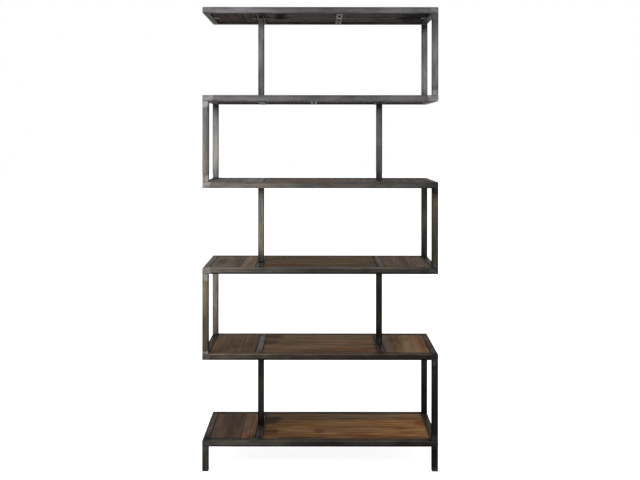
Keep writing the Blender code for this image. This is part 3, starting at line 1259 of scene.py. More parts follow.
@dataclass
class Joinery:
    """Welds and screws, each kind modelled once at the origin and then copied.

    Attributes:
        corner_bead: Radius of the weld along the two inner sides of an end post.
        ring_bead: Radius of the weld round a middle post.
        side_bead: Radius of the weld at a crossbar's end.
        tack: Radius of the short welds at the strap and the tabs.
        seam: Thickness of the weld metal under a post.
        seam_inset: How far that layer stays inside the tube's sides.
        screw: Radius and height of a screw's head.
        bolt: The same for a bolt.
    """

    corner_bead: float = 0.0021
    ring_bead: float = 0.0030
    side_bead: float = 0.0018
    tack: float = 0.0013
    seam: float = 0.0003
    seam_inset: float = 0.0003
    screw: tuple[float, float] = (0.0045, 0.0038)
    bolt: tuple[float, float] = (0.0055, 0.0055)

    def __post_init__(self) -> None:
        """Models one of each kind."""
        self.kinds = {"seam": self._seam()}
        self.kinds |= {
            "corner_bead": self._bead("corner_bead", self.corner_bead, open_low=True),
            "ring_bead": self._bead("ring_bead", self.ring_bead, open_low=False),
            "side_bead": self._side_bead(),
            "tack": self._tack(),
            "screw": self._head("screw", *self.screw),
            "bolt": self._head("bolt", *self.bolt),
        }

    def remove_sources(self) -> None:
        """Removes the originals once every copy is made."""
        for source in self.kinds.values():
            bpy.data.objects.remove(source, do_unlink=True)

    def _outline(self, name: str) -> Piece:
        """A square line with rounded corners, as wide as the tube, in many short stretches.

        Args:
            name: Name of the piece.

        Returns:
            The line, in the plane z = 0.
        """
        start_piece()
        bpy.ops.mesh.primitive_plane_add(size=TUBE, location=(0, 0, 0))
        line = newest(name)
        with shaping(line):
            bpy.ops.mesh.select_all(action="SELECT")
            bpy.ops.mesh.bevel(offset=TUBE_CORNER, segments=2, affect="VERTICES")
            pick("EDGE", lambda e: e.calc_length() > HALF_TUBE)
            bpy.ops.mesh.subdivide(number_cuts=7)
            bpy.ops.mesh.select_all(action="SELECT")
            bpy.ops.mesh.delete(type="ONLY_FACE")
        return line

    def _seam(self) -> Piece:
        """The thin layer of weld metal between a post's end and the frame.

        Returns:
            The layer, round z = 0.
        """
        start_piece()
        side = TUBE - 2 * self.seam_inset
        bpy.ops.mesh.primitive_cube_add(size=1, scale=(side, side, self.seam))
        seam = newest("seam")
        with shaping(seam):
            pick("EDGE", lambda e: abs(e.verts[0].co.z - e.verts[1].co.z) > self.seam / 2)
            bpy.ops.mesh.bevel(offset=TUBE_CORNER, segments=3, affect="EDGES")
            pick("FACE", lambda f: abs(f.normal.z) > 0.9)
            bpy.ops.mesh.inset(thickness=0.0012)
            tidy_shell()
        return seam

    def _swell(self, line: Piece, radius: float) -> None:
        """Turns a line into a closed, rippled bead of the given radius.

        Args:
            line: The line that the weld follows.
            radius: Radius of the bead.
        """
        only(line)
        bpy.ops.object.convert(target="CURVE")
        curve = line.data
        curve.dimensions = "3D"
        curve.bevel_depth = radius
        curve.bevel_resolution = 1
        curve.use_fill_caps = True
        for spline in curve.splines:
            last = len(spline.points) - 1
            for number, point in enumerate(spline.points):
                point.radius = 1.0 if number % 2 else 0.78
                if not spline.use_cyclic_u and number in (0, last):
                    point.radius = 0.45
        bpy.ops.object.convert(target="MESH")
        with shaping(line):
            tidy_shell()
            bpy.ops.transform.vertex_random(offset=0.0002, seed=7)
        smooth(50)

    def _bead(self, name: str, radius: float, open_low: bool) -> Piece:
        """A fillet weld round a tube's foot, or only along its two inner sides.

        Args:
            name: Name of the piece.
            radius: Radius of the bead.
            open_low: True leaves out the sides towards -X and -Y, where the joint is ground flush.

        Returns:
            The bead, in the plane z = 0.
        """
        line = self._outline(name)
        if open_low:
            with shaping(line):
                pick("VERT", lambda v: min(v.co.x, v.co.y) < 0.0035 - HALF_TUBE)
                bpy.ops.mesh.delete(type="VERT")
        self._swell(line, radius)
        return join_all([line, copy_of(self.kinds["seam"], "layer", (0, 0, 0))], name)

    def _side_bead(self) -> Piece:
        """A fillet weld down both sides and under a crossbar's end, standing in the XZ plane.

        Returns:
            The bead.
        """
        line = self._outline("side_bead")
        with shaping(line):
            pick("VERT", lambda v: v.co.y > HALF_TUBE - 0.004)
            bpy.ops.mesh.delete(type="VERT")
        line.rotation_euler = Euler((math.radians(90), 0, 0))
        line = newest("side_bead")
        self._swell(line, self.side_bead)
        return line

    def _tack(self) -> Piece:
        """A short straight weld along X that holds a strap or a tab.

        Returns:
            The weld, round the origin.
        """
        start_piece()
        bpy.ops.mesh.primitive_cylinder_add(
            vertices=8, radius=self.tack, depth=STRAP_WIDTH - 0.003, end_fill_type="TRIFAN",
            rotation=(0, math.radians(90), 0),
        )
        tack = newest("tack")
        reach = STRAP_WIDTH / 2 - 0.003
        stations = [reach * share for share in (-0.85, -0.6, -0.35, -0.1, 0.15, 0.4, 0.65, 0.9)]
        with shaping(tack):
            for station in stations:
                bpy.ops.mesh.select_all(action="SELECT")
                bpy.ops.mesh.bisect(plane_co=(station, 0, 0), plane_no=(1, 0, 0))
            for station in stations[::2]:
                pick("VERT", lambda v, at=station: abs(v.co.x - at) < 0.0004)
                bpy.ops.transform.resize(value=(1, 0.72, 0.72), center_override=(station, 0, 0))
            for end in SIGNS:
                pick("VERT", lambda v, at=end: v.co.x * at > reach + 0.001)
                bpy.ops.transform.resize(value=(1, 0.45, 0.45), center_override=(0, 0, 0))
            tidy_shell()
        smooth(50)
        return tack

    def _head(self, name: str, radius: float, height: float) -> Piece:
        """A round head that hangs below z = 0, with its cross recess from below.

        Args:
            name: Name of the piece.
            radius: Radius of the head.
            height: Height of the head.

        Returns:
            The head.
        """
        start_piece()
        middle = (0, 0, -height / 2)
        bpy.ops.mesh.primitive_cylinder_add(vertices=16, radius=radius, depth=height, location=middle)
        head = newest(name)
        low = -height * 0.9

        def in_face(face: bmesh.types.BMFace) -> bool:
            """True for the head's lower face."""
            return face.normal.z < -0.99 and face.calc_center_median().z < low

        def between_arms(v: bmesh.types.BMVert) -> bool:
            """True where a corner of the lower face lies between the arms of the recess."""
            turn = math.degrees(math.atan2(v.co.y, v.co.x)) % 90
            return v.co.z < low and v.co.xy.length < radius * 0.68 and 16 < turn < 74

        def in_recess(face: bmesh.types.BMFace) -> bool:
            """True for the face of the recess."""
            return face.normal.z < -0.99 and face.calc_center_median().xy.length < radius * 0.1

        with shaping(head):
            pick("EDGE", lambda e: all(v.co.z < low for v in e.verts))
            bpy.ops.mesh.bevel(offset=height * 0.55, segments=3, affect="EDGES")
            pick("FACE", in_face)
            bpy.ops.mesh.inset(thickness=radius * 0.22)
            pick("VERT", between_arms)
            bpy.ops.transform.resize(value=(0.45, 0.45, 1), center_override=(0, 0, -height))
            pick("FACE", in_recess)
            bpy.ops.mesh.extrude_region_move(TRANSFORM_OT_translate={"value": (0, 0, height * 0.45)})
            tidy_shell()
        smooth(40)
        return head


class Workshop:
    """What the etagere is dressed, welded and screwed with."""

    def __init__(self) -> None:
        """Makes the node groups, the joinery and its materials."""
        self.effects = Effects()
        self.joinery = Joinery()
        self.weld_metal = BeadFinish().finish("weld_metal")
        self.screw_steel = {
            "pale": ScrewFinish(paint(146, 144, 138), 0.42).finish("screw_pale"),
            "dull": ScrewFinish(paint(92, 90, 86), 0.5).finish("screw_dull"),
            "dark": ScrewFinish(paint(26, 25, 24), 0.55).finish("bolt_dark"),
        }

    def copy(self, kind: str, place: Sequence[float], turn: float = 0.0, name: str = "bead") -> Piece:
        """Copies one of the kinds of joinery to a place."""
        return copy_of(self.joinery.kinds[kind], name, place, turn)

    def dress_node(self, node: str, finish: SteelFinish, lay_out: LayOut) -> None:
        """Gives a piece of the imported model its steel."""
        dress(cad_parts[node], finish.finish(node, self.effects, lay_out))
        LOG.info("%s: dressed", node)

    def weld_ends(self, node: str, all_round: bool, foot: bool = True) -> None:
        """Welds a post's head, and its foot too.

        Args:
            node: Name of the post.
            all_round: True for a post whose four sides stand clear of the frame's outer faces.
            foot: False for a leg, which is welded only at its head.
        """
        low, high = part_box(node)
        x, y = (low.x + high.x) / 2, (low.y + high.y) / 2
        kind, turn = "ring_bead", 0.0
        if not all_round:
            inwards = {(False, False): 0, (True, False): 90, (True, True): 180, (False, True): 270}
            kind, turn = "corner_bead", math.radians(inwards[x > 0, y > 0])
        levels = (low.z, high.z) if foot else (high.z,)
        welds = join_all([self.copy(kind, (x, y, level), turn) for level in levels], f"{node}_welds")
        dress(welds, self.weld_metal)
        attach(welds, "root")


@dataclass
class BoardPanel:
    """The boards of one compartment of a shelf, which replace the frame's panel.

    Attributes:
        node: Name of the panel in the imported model.
        axis: Direction in which the boards run.
        shares: Width of each board as a share of the panel, from the left or the front.
        finishes: Finish of each board.
        joint: Gap between neighbouring boards.
    """

    node: str
    axis: Axis
    shares: tuple[float, ...]
    finishes: tuple[WoodFinish, ...]
    joint: float = 0.0002

    def build(self, effects: Effects) -> None:
        """Models and dresses each board.

        Args:
            effects: The shared node groups.
        """
        low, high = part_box(self.node)
        spread = Vector((BOARD_SPREAD, BOARD_SPREAD, 0))
        low, high = low - spread, high + spread
        across = self.axis.value[1]
        start = low[across]
        for number, (share, finish) in enumerate(zip(self.shares, self.finishes), start=1):
            end = start + share * (high[across] - low[across])
            outer = (number == 1, number == len(self.shares))
            board_low, board_high = low.copy(), high.copy()
            board_low[across] = start + (0 if outer[0] else self.joint / 2)
            board_high[across] = end - (0 if outer[1] else self.joint / 2)
            plan = Board(f"{self.node[:-1]}_{number}", self.axis, board_low, board_high, outer)
            board = plan.model()
            dress(board, finish.finish(effects, plan))
            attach(board, "root")
            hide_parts(self.node)
            LOG.info("%s: %d faces", plan.name, len(board.data.polygons))
            start = end


@dataclass
class Shelf:
    """One shelf: its welded frame and crossbars, its boards, welds and screws.

    Attributes:
        number: Number of the shelf, from the floor up.
        steel: Finish of the frame.
        bars: Finish of the crossbar on each side that has one.
        soot: How far the scorch reaches round the post that stands on it.
        left: Finishes of the two boards at the left end.
        planks: Finishes of the four planks, from the front.
        right: Finishes of the two boards at the right end, if it has them.
        left_shares: Width of each board at the left end, as a share.
        plank_shares: The same for the planks.
        right_shares: The same for the boards at the right end.
    """

    number: int
    steel: SteelFinish
    bars: dict[Side, SteelFinish]
    soot: float
    left: tuple[WoodFinish, ...]
    planks: tuple[WoodFinish, ...]
    right: tuple[WoodFinish, ...] = ()
    left_shares: tuple[float, ...] = (0.685, 0.315)
    plank_shares: tuple[float, ...] = (0.13, 0.29, 0.30, 0.28)
    right_shares: tuple[float, ...] = (0.57, 0.43)

    def __post_init__(self) -> None:
        """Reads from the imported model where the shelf's parts lie."""
        self.name = f"shelf_{self.number}"
        low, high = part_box(f"{self.name}_planks")
        self.strap_x = (low.x + high.x) / 2 + STRAP_SHIFT
        self.plate_z = low.z - PLATE_DROP
        self.bar_x = []
        for side in self.bars:
            low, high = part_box(f"{self.name}_crossbar_{side.name.lower()}")
            self.bar_x.append((low.x + high.x) / 2)

    def build(self, shop: Workshop) -> None:
        """Builds and dresses the shelf.

        Args:
            shop: What the shelf is dressed, welded and screwed with.
        """
        self._dress_steel(shop)
        BoardPanel(f"{self.name}_left_boards", Axis.Y, self.left_shares, self.left).build(shop.effects)
        BoardPanel(f"{self.name}_planks", Axis.X, self.plank_shares, self.planks).build(shop.effects)
        if self.right:
            BoardPanel(f"{self.name}_right_boards", Axis.Y, self.right_shares, self.right).build(shop.effects)
        self._weld(shop)
        self._screw(shop)

    def _dress_steel(self, shop: Workshop) -> None:
        """Gives the frame and the crossbars their steel.

        Args:
            shop: What the shelf is dressed, welded and screwed with.
        """
        low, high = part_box(f"{self.name}_frame")
        shop.dress_node(f"{self.name}_frame", self.steel, mitred_ring(low, high, self.strap_x))
        for (side, finish), x in zip(self.bars.items(), self.bar_x):
            node = f"{self.name}_crossbar_{side.name.lower()}"
            low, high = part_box(node)
            low.x, high.x = x - HALF_TUBE, x + HALF_TUBE
            low.z = high.z - TUBE
            carries = side is (Side.LEFT if self.number % 2 else Side.RIGHT)
            soot = self.soot if carries else HANGING_SOOT
            shop.dress_node(node, finish, straight_tube(Axis.Y, low, high, soot, not carries))

    def _weld(self, shop: Workshop) -> None:
        """Welds the crossbars, the strap and the tabs to the frame.

        Args:
            shop: What the shelf is dressed, welded and screwed with.
        """
        low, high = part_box(f"{self.name}_frame")
        inner_x, inner_y = high.x - TUBE, high.y - TUBE
        plate, quarter = self.plate_z, math.radians(90)
        made = []
        for x in self.bar_x:
            for sign in SIGNS:
                made.append(shop.copy("side_bead", (x, sign * inner_y, low.z + HALF_TUBE)))
                made.append(shop.copy("tack", (x + sign * HALF_TUBE, 0, plate), quarter))
        for sign in SIGNS:
            made.append(shop.copy("tack", (self.strap_x, sign * inner_y, plate)))
            made.append(shop.copy("tack", (sign * inner_x, 0, plate), quarter))
        welds = join_all(made, f"{self.name}_welds")
        dress(welds, shop.weld_metal)
        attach(welds, "root")
        LOG.info("%s: %d faces", welds.name, len(welds.data.polygons))

    def _screw(self, shop: Workshop) -> None:
        """Screws the boards to the tabs and the strap from below.

        Args:
            shop: What the shelf is dressed, welded and screwed with.
        """
        strap, (end_x, end_y) = self.strap_x, STRAP_END_SCREW
        inner_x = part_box(f"{self.name}_frame")[1].x - TUBE
        places = [("pale", "screw", strap, 0.0)]
        places += [("dark", "bolt", strap, sign * BOLT_STEP) for sign in SIGNS]
        places += [("pale", "screw", strap + sign * end_x, end_y) for sign in SIGNS]
        for sign in SIGNS:
            x = sign * (inner_x - TAB_SCREW)
            places += [("dull", "screw", x, step * TAB_SCREW_STEP) for step in SIGNS]
        for bar in self.bar_x:
            places += [("dull", "screw", bar + sign * (HALF_TUBE + TAB_SCREW), 0.0) for sign in SIGNS]
        for number, (steel_kind, kind, x, y) in enumerate(places, start=1):
            turn = random.Random(f"{self.name}{number}").uniform(0, math.pi)
            name = f"{self.name}_screw_{number:02d}"
            made = shop.copy(kind, (x, y, self.plate_z + HEAD_LIFT), turn, name)
            dress(made, shop.screw_steel[steel_kind])
            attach(made, "root")
        LOG.info("%s: %d screws", self.name, len(places))


@dataclass
class Bay:
    """The posts that stand on one shelf and carry the next.

    Attributes:
        number: Number of the bay, from the floor up.
        front: Finish of the front end post.
        rear: Finish of the rear end post.
        middle: Finish of the middle post.
    """

    number: int
    front: SteelFinish
    rear: SteelFinish
    middle: SteelFinish

    def build(self, shop: Workshop) -> None:
        """Dresses the posts and welds them.

        Args:
            shop: What the posts are dressed and welded with.
        """
        posts = {"end_post_front": self.front, "end_post_rear": self.rear, "middle_post": self.middle}
        for kind, finish in posts.items():
            node = f"bay_{self.number}_{kind}"
            low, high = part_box(node)
            shop.dress_node(node, finish, straight_tube(Axis.Z, low, high))
            shop.weld_ends(node, kind == "middle_post")


@dataclass
class Legs:
    """The four legs and their glides.

    Attributes:
        finishes: Finish of the legs on each side.
        glide: Finish of the glides.
    """

    finishes: dict[Side, SteelFinish]
    glide: GlideFinish = GlideFinish()

    def build(self, shop: Workshop) -> None:
        """Dresses the legs and glides and welds the legs.

        Args:
            shop: What the legs are dressed and welded with.
        """
        plastic = self.glide.finish("glide_plastic_moulded")
        for row in ("front", "rear"):
            for side in Side:
                place = f"{row}_{side.name.lower()}"
                low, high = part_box(f"leg_{place}")
                shop.dress_node(f"leg_{place}", self.finishes[side], straight_tube(Axis.Z, low, high))
                dress(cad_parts[f"glide_{place}"], plastic)
                shop.weld_ends(f"leg_{place}", all_round=False, foot=False)


@dataclass
class Studio:
    """Floor, light and camera.

    Attributes:
        lens: Focal length in millimetres.
        eye: Place of the camera.
        shift: Shift of the picture, as shares of its width.
        roll: Roll of the camera in degrees.
        sensor: Width of the camera's sensor in millimetres.
        room_light: Strength of the light from all sides.
        key_power: Power of the large soft lamp.
        key_size: Side of that lamp.
        key_place: Place of that lamp.
        key_aim: What it points at.
        floor_radius: Radius of the floor.
        floor_middle: Radius of its inner face.
    """

    lens: float = 49.2
    eye: tuple[float, float, float] = (-0.016, -3.979, 1.450)
    shift: tuple[float, float] = (0.0052, -0.1625)
    roll: float = 0.05
    sensor: float = 36.0
    room_light: float = 0.55
    key_power: float = 130.0
    key_size: float = 2.4
    key_place: tuple[float, float, float] = (-2.7, -3.1, 3.3)
    key_aim: tuple[float, float, float] = (0.0, 0.0, 1.2)
    floor_radius: float = 30.0
    floor_middle: float = 4.0

    def build(self) -> None:
        """Builds the whole studio."""
        self._camera()
        self._world()
        self._lamp()
        self._floor()

    def _camera(self) -> None:
        """Adds the camera, level, at the photograph's viewpoint."""
        bpy.ops.object.camera_add(location=self.eye, rotation=(math.radians(90), -math.radians(self.roll), 0))
        camera = bpy.context.object
        camera.name = "camera"
        camera.data.lens = self.lens
        camera.data.sensor_width = self.sensor
        camera.data.shift_x, camera.data.shift_y = self.shift
        camera.data.clip_end = 100.0
        bpy.context.scene.camera = camera
        bpy.context.scene.view_settings.view_transform = "Standard"

    @staticmethod
    def _seen(g: Graph) -> Signal:
        """One for rays from the camera, a reflection or a clear body, and zero for the others.

        Args:
            g: Graph of the floor or the world.

        Returns:
            The value.
        """
        rays = g.node("ShaderNodeLightPath").outputs
        kinds = ("Is Camera Ray", "Is Glossy Ray", "Is Transmission Ray")
        camera, glossy, clear = (Signal(g, rays[kind]) for kind in kinds)
        return g.most(camera, g.most(glossy, clear))

    def _world(self) -> None:
        """White to the camera and in reflections, and a soft pale light otherwise."""
        world = bpy.data.worlds.new("studio")
        bpy.context.scene.world = world
        world.use_nodes = True
        g = Graph(world.node_tree)
        back = world.node_tree.nodes["Background"]
        g.feed(back.inputs["Strength"], g.line(self._seen(g), 0.0, 1.0, self.room_light, 1.0))
        g.feed(back.inputs["Color"], (1, 1, 1))

    def _lamp(self) -> None:
        """One large soft lamp at the upper left, in front."""
        turn = (Vector(self.key_aim) - Vector(self.key_place)).to_track_quat("-Z", "Y").to_euler()
        bpy.ops.object.light_add(type="AREA", location=self.key_place, rotation=turn)
        lamp = bpy.context.object
        lamp.name = "soft_lamp"
        lamp.data.shape = "SQUARE"
        lamp.data.size = self.key_size
        lamp.data.energy = self.key_power

    def _floor(self) -> None:
        """A pale floor that shows white and keeps a soft shadow."""
        start_piece()
        radius = self.floor_radius
        bpy.ops.mesh.primitive_circle_add(vertices=96, radius=radius, fill_type="NGON", location=(0, 0, 0))
        floor = newest("floor")
        with shaping(floor):
            bpy.ops.mesh.select_all(action="SELECT")
            bpy.ops.mesh.inset(thickness=radius - self.floor_middle)
        g = Surface("floor_pale")
        nodes = g.tree.nodes
        nodes.remove(nodes["Principled BSDF"])
        cloud = g.remap(g.noise(g.vector, 3.0, 3.0), 0.3, 0.7, 0.80, 0.83)
        matt = g.signal("ShaderNodeBsdfDiffuse", {"Color": cloud})
        glow = g.signal("ShaderNodeEmission", {"Color": (1, 1, 1), "Strength": self._seen(g) * 0.87})
        both = g.signal("ShaderNodeAddShader", {0: matt, 1: glow})
        g.feed(nodes["Material Output"].inputs["Surface"], both)
        dress(floor, g.material)
        floor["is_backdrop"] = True


def steel(*levels: float, **options: object) -> SteelFinish:
    """A steel finish from its levels along the piece, which hold painted light and shade."""
    return SteelFinish(levels=levels, **options)


def wood(kind: Wood, shade: float = 1.0, *marks: Mark, **options: object) -> WoodFinish:
    """A wood finish from its kind, its shade and its marks."""
    return WoodFinish(wood=kind, shade=shade, marks=marks, **options)


PURPLE = paint(46, 31, 33)
MAUVE = paint(86, 66, 66)
PINK = paint(130, 84, 70)
MOSS = paint(66, 70, 52)
RUST = paint(108, 60, 40)
CREAM = paint(138, 116, 88)
SOOT = paint(26, 18, 14)


def make_shelves() -> Iterator[Shelf]:
    """The six shelves, from the floor up, as the photograph shows them.

    Yields:
        Each shelf.
    """
    left, right = Side
    warm, brown, mauve, slate = Tint.WARM, Tint.BROWN, Tint.MAUVE, Tint.SLATE
    walnut, rose, tan, umber, olive, ash, plum, sand = Wood
    # A warm cast for old steel, with painted shade along the lower edge of the rails.
    aged_and_foot_shaded = {"tint": warm, "warm": mauve, "patch": mauve, "foot": 0.25}
    cool = {"tint": slate, "warm": slate, "patch": slate}
    bar = {"tint": warm, "contrast": 0.55}
    calm = {"contrast": 0.45, "coarse": 40.0, "warmth": 0.15, "seams": 0.35}
    parted = {**calm, "seams": 0.9}
    satin = {**calm, "gloss": 0.035}
    fine = {"coarse": 110.0, "stretch": 0.035, "wave": 0.012}
    sixth = {"under": 0.42, "warmth": 0.8, "gloss": 0.018}
    shaded = {"under_ends": (1.6, 0.4), "under": 0.45, "gloss": 0.035}

    def dark_patched(kind: Wood, shade: float, across: float, *shade_patches: tuple[float, float, float]) -> WoodFinish:
        """A plank whose underside is painted darker in patches near its ends, as painted shade."""
        marks = (Mark(along, across, long, wide, SOOT, 0.95, True) for along, long, wide in shade_patches)
        return wood(kind, shade, *marks, **shaded)

    # The steel greys hold painted light and shade: lighter on the upper shelves and to the left, darker low
    # down and to the right.
    yield Shelf(
        1,
        steel(
            51, 60, 48, 28, 38, 36, 26, tops=(64, 80, 74, 58, 59, 70, 60), rails=(78, 70), ground=(46, 34),
            rear=0.8, reach=0.045, **aged_and_foot_shaded,
        ),
        {left: steel(58, 50, tops=(88, 76), tint=mauve, contrast=0.65, lines=0.5)}, 0.004,
        left=(
            wood(walnut, 1.0, Mark(0.45, 0.62, 0.05, 0.03, paint(92, 76, 62), 0.35), **calm),
            wood(
                rose, 0.95, Mark(0.06, 0.14, 0.06, 0.02, PINK, 0.65),
                Mark(0.05, 0.78, 0.05, 0.03, PURPLE, 0.5),
            ),
        ),
        planks=(
            wood(
                tan, 0.84, Mark(0.62, 0.6, 0.07, 0.02, RUST, 0.5), Mark(0.20, 0.3, 0.10, 0.02, SOOT, 0.5),
                Mark(0.86, 0.5, 0.10, 0.012, MOSS, 0.35), Mark(0.355, 0.59, 0.022, 0.010, MAUVE),
                ends=(0.75, 1.25), contrast=1.2, warmth=0.5, rim=0.45, **fine,
            ),
            wood(
                tan, 1.05, Mark(0.342, 0.46, 0.034, 0.021, MAUVE), Mark(0.335, 0.68, 0.022, 0.004, SOOT),
                Mark(0.03, 0.4, 0.06, 0.05, PURPLE, 0.6), Mark(0.85, 0.86, 0.045, 0.0030, SOOT, 1.0),
                Mark(0.78, 0.79, 0.09, 0.0026, SOOT), Mark(0.86, 0.30, 0.05, 0.012, RUST, 0.6),
                ends=(0.85, 1.40), contrast=1.35, **fine,
            ),
            wood(
                tan, 1.04, Mark(0.035, 0.8, 0.045, 0.04, PURPLE, 0.7), Mark(0.97, 0.6, 0.03, 0.05, RUST, 0.6),
                ends=(0.8, 1.50), contrast=1.35, **fine,
            ),
            wood(
                umber, 1.1, Mark(0.03, 0.1, 0.06, 0.05, PURPLE, 0.75), Mark(0.9, 0.3, 0.08, 0.03, RUST, 0.5),
                ends=(0.8, 1.45), contrast=1.3, warmth=0.5, **fine,
            ),
        ),
    )
    yield Shelf(
        2,
        steel(
            58, 60, 46, 40, 33, 29, 30, tops=(98, 92, 76, 80, 73, 68, 64), rails=(74, 66), ground=(78, 36),
            tint=brown, warm=mauve, patch=mauve, rear=0.65, reach=0.030, foot=0.22,
        ),
        {
            left: steel(80, 76, tops=(94, 88), tint=mauve, contrast=0.55),
            right: steel(56, 42, tops=(92, 50), tint=brown, contrast=0.7, lines=0.5),
        },
        0.02,
        left=(
            wood(
                umber, 0.74, Mark(0.3, 0.75, 0.010, strength=0.5), Mark(0.62, 0.86, 0.007, strength=0.6),
                Mark(0.34, 0.70, 0.03, 0.012, RUST, 0.45), Mark(0.66, 0.80, 0.03, 0.010, RUST, 0.45), **calm,
            ),
            wood(
                umber, 0.70, Mark(0.5, 0.3, 0.009, strength=0.6), Mark(0.45, 0.5, 0.05, 0.02, RUST, 0.3),
                **calm,
            ),
        ),
        planks=(
            wood(
                umber, 0.74, Mark(0.85, 0.5, 0.12, 0.02, RUST, 0.4), Mark(0.5, 0.4, 0.08, 0.02, RUST, 0.25),
                ends=(0.85, 1.1),
            ),
            wood(umber, 0.98, Mark(0.78, 0.3, 0.12, 0.03, RUST, 0.45), coarse=60.0, contrast=1.0),
            wood(umber, 1.04, Mark(0.05, 0.5, 0.05, 0.04, PURPLE, 0.6), ends=(0.9, 1.0), contrast=0.9),
            wood(sand, 0.86, Mark(0.06, 0.6, 0.06, 0.04, PURPLE, 0.7), ends=(1.0, 0.9)),
        ),
        right=(
            wood(plum, 1.42, Mark(0.5, 0.9, 0.16, 0.016, paint(108, 88, 68)), **calm),
            wood(
                sand, 1.14, Mark(0.45, 0.12, 0.2, 0.024, paint(104, 84, 68)),
                Mark(0.5, 0.80, 0.2, 0.03, paint(122, 94, 76), 0.6), Mark(0.5, 0.46, 0.15, 0.006, CREAM),
                Mark(0.3, 0.60, 0.10, 0.004, CREAM, 0.5), Mark(0.62, 0.16, 0.03, 0.008, RUST, 0.5),
                Mark(0.55, 0.88, 0.12, 0.012, RUST, 0.55), Mark(0.72, 0.42, 0.04, 0.012, SOOT, 0.3),
                Mark(0.40, 0.98, 0.06, 0.006, SOOT, 0.7), **calm,
            ),
        ),
        right_shares=(0.27, 0.73),
    )
    yield Shelf(
        3,
        steel(
            98, 72, 64, 48, 46, 50, 44, tops=(98, 106, 73, 71, 84, 76, 60), rails=(94, 66), ground=(118, 50),
            reach=0.036, **aged_and_foot_shaded,
        ),
        {
            left: steel(76, 70, tops=(96, 90), warm=brown, **bar),
            right: steel(68, 66, tops=(66, 68), tint=brown, contrast=0.5),
        },
        0.05,
        left=(
            wood(ash, 0.76, Mark(0.55, 0.3, 0.08, 0.03, paint(78, 62, 54), 0.5), **parted),
            wood(ash, 1.33, Mark(0.25, 0.5, 0.05, 0.03, paint(104, 84, 70), 0.5), **parted),
        ),
        planks=(
            wood(plum, 0.95, Mark(0.25, 0.5, 0.14, 0.02, RUST, 0.3), ends=(1.05, 0.9), **calm),
            wood(olive, 1.07, Mark(0.15, 0.3, 0.14, 0.04, RUST, 0.35), **satin),
            wood(olive, 1.12, Mark(0.80, 0.5, 0.14, 0.03, CREAM, 0.3), **satin),
            wood(olive, 1.08, **satin),
        ),
        right=(
            wood(rose, 0.57, Mark(0.5, 0.92, 0.2, 0.02, paint(104, 86, 74), 0.5), **calm),
            wood(
                plum, 1.25, Mark(0.45, 0.45, 0.05, 0.004, SOOT, 0.6), Mark(0.25, 0.6, 0.06, 0.03, RUST, 0.15),
                ends=(1.1, 0.9), **calm,
            ),
        ),
    )
    yield Shelf(
        4,
        steel(
            104, 102, 86, 74, 75, 70, 59, tops=(97, 88, 80, 75, 74, 69, 67), rails=(44, 70), ground=(126, 56),
            warm=brown, patch=mauve, rear=0.3, reach=0.034,
        ),
        {left: steel(94, 90, tops=(96, 92), **bar), right: steel(60, 60, tops=(84, 84), **bar)}, 0.01,
        left=(
            # The dark mark near the rear left corner of this board is painted shade.
            wood(ash, 0.41, Mark(0.85, 0.06, 0.10, 0.03, SOOT), gloss=0.27, **calm),
            wood(ash, 0.60, gloss=0.46, **calm),
        ),
        planks=(
            wood(plum, 0.80, Mark(0.40, 0.5, 0.10, 0.03, RUST, 0.25), gloss=0.13, **calm),
            wood(umber, 0.68, Mark(0.40, 0.5, 0.10, 0.05, RUST, 0.25), gloss=0.14, **calm),
            wood(ash, 0.60, gloss=0.09, **calm), wood(plum, 0.70, gloss=0.08, **calm),
        ),
        right=(wood(plum, 0.52, gloss=0.065, **calm), wood(plum, 0.54, **calm)),
    )
    yield Shelf(
        5,
        steel(
            98, 100, 98, 85, 88, 94, 95, rails=(98, 86), ground=(120, 130),
            under=(0.22, 0.25), reach=0.045, **cool,
        ),
        {left: steel(90, 86), right: steel(84, 80)}, 0.02,
        left=(wood(walnut), wood(umber, 0.8)),
        planks=(wood(umber, 0.8), wood(walnut), wood(umber, 0.75), wood(walnut, 0.95)),
        right=(wood(plum), wood(umber, 0.8)),
    )
    yield Shelf(
        6,
        steel(
            92, 112, 90, 82, 83, 95, 91, rails=(98, 86), ground=(88, 108),
            under=(0.06, 0.5), reach=0.034, **cool,
        ),
        {left: steel(80, 76)}, 0.02,
        left=(wood(walnut, 0.9, **sixth), wood(umber, 0.7, **sixth)),
        planks=(
            dark_patched(walnut, 1.0, 0.5, (0.10, 0.03, 0.05), (0.93, 0.05, 0.05)),
            dark_patched(walnut, 0.95, 0.5, (0.10, 0.03, 0.07), (0.93, 0.07, 0.09)),
            dark_patched(umber, 0.75, 0.4, (0.10, 0.03, 0.07), (0.91, 0.07, 0.09)),
            # The dark mark near the right end of this plank's underside is painted shade.
            wood(walnut, 1.0, Mark(0.91, 0.4, 0.04, 0.05, SOOT, 0.5, True), **shaded),
        ),
    )


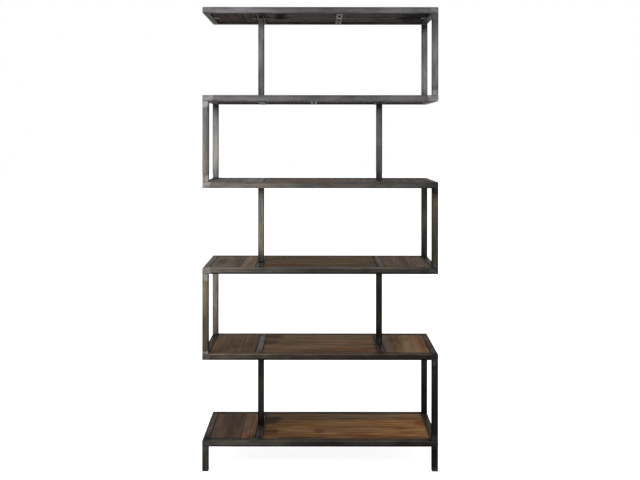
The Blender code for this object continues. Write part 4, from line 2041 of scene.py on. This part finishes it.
def make_bays() -> Iterator[Bay]:
    """The five bays, from the floor up, as the photograph shows them.

    Yields:
        Each bay.
    """
    warm, khaki, brown, slate = Tint.WARM, Tint.KHAKI, Tint.BROWN, Tint.SLATE
    # The post greys hold painted light and shade: lighter on the upper bays and to the left, darker low down
    # and to the right.
    yield Bay(
        1, steel(22, 20, 21, 24, 26, 29, 29, ground=(38, 43), tint=warm),
        steel(27, 27, 26, 27, 27, 25, 24, tint=warm), steel(26, 34, 35, 34, 33, 30, 28, tint=warm),
    )
    yield Bay(
        2,
        steel(
            60, 62, 66, 76, 92, 101, 98, ground=(112, 126), tint=khaki, reach=0.013, head_reach=0.026,
            lean=0.26,
        ),
        steel(100, 98, 101, 106, 107, 110, 115, tint=warm, warm=khaki),
        steel(46, 29, 32, 34, 36, 38, 22, ground=(60, 0), tint=warm),
    )
    yield Bay(
        3, steel(48, 54, 58, 62, 67, 66, 34, tint=warm, warm=khaki),
        steel(52, 44, 56, 69, 54, 44, 36, tint=warm), steel(74, 98, 102, 102, 103, 103, 62, warm=khaki),
    )
    yield Bay(
        4, steel(105, 105, 103, 110, 107, 102, 100, ground=(130, 138), warm=brown, lean=0.28),
        steel(108, 135, 142, 140, 124, 108, 50, warm=brown), steel(70, 83, 84, 93, 98, 90, 28, warm=slate),
    )
    yield Bay(
        5, steel(104, 108, 108, 110, 100, 84, 72, ground=(146, 0), warm=slate, lean=-0.15),
        steel(88, 116, 124, 116, 108, 110, 50, warm=slate), steel(80, 86, 88, 99, 102, 111, 96, warm=slate),
    )


def make_legs() -> Legs:
    """The legs, the left ones painted lighter than the right ones, as painted light and shade.

    Returns:
        The legs.
    """
    return Legs({
        Side.LEFT: steel(42, 45, 46, ground=(40, 54), tint=Tint.WARM),
        Side.RIGHT: steel(20, 20, 20, ground=(40, 34), tint=Tint.WARM, reach=0.012),
    })


def main() -> tuple[Vector, Vector]:
    """Builds the etagere from the floor up, and the studio round it.

    Returns:
        The CAD model's box.
    """
    logging.basicConfig(level=logging.INFO, format="%(name)s: %(message)s")
    cad_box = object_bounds()
    shop = Workshop()
    for part in (make_legs(), *make_shelves(), *make_bays()):
        part.build(shop)
    shop.joinery.remove_sources()
    Studio().build()
    return cad_box


if __name__ == "__main__":
    box_before = main()
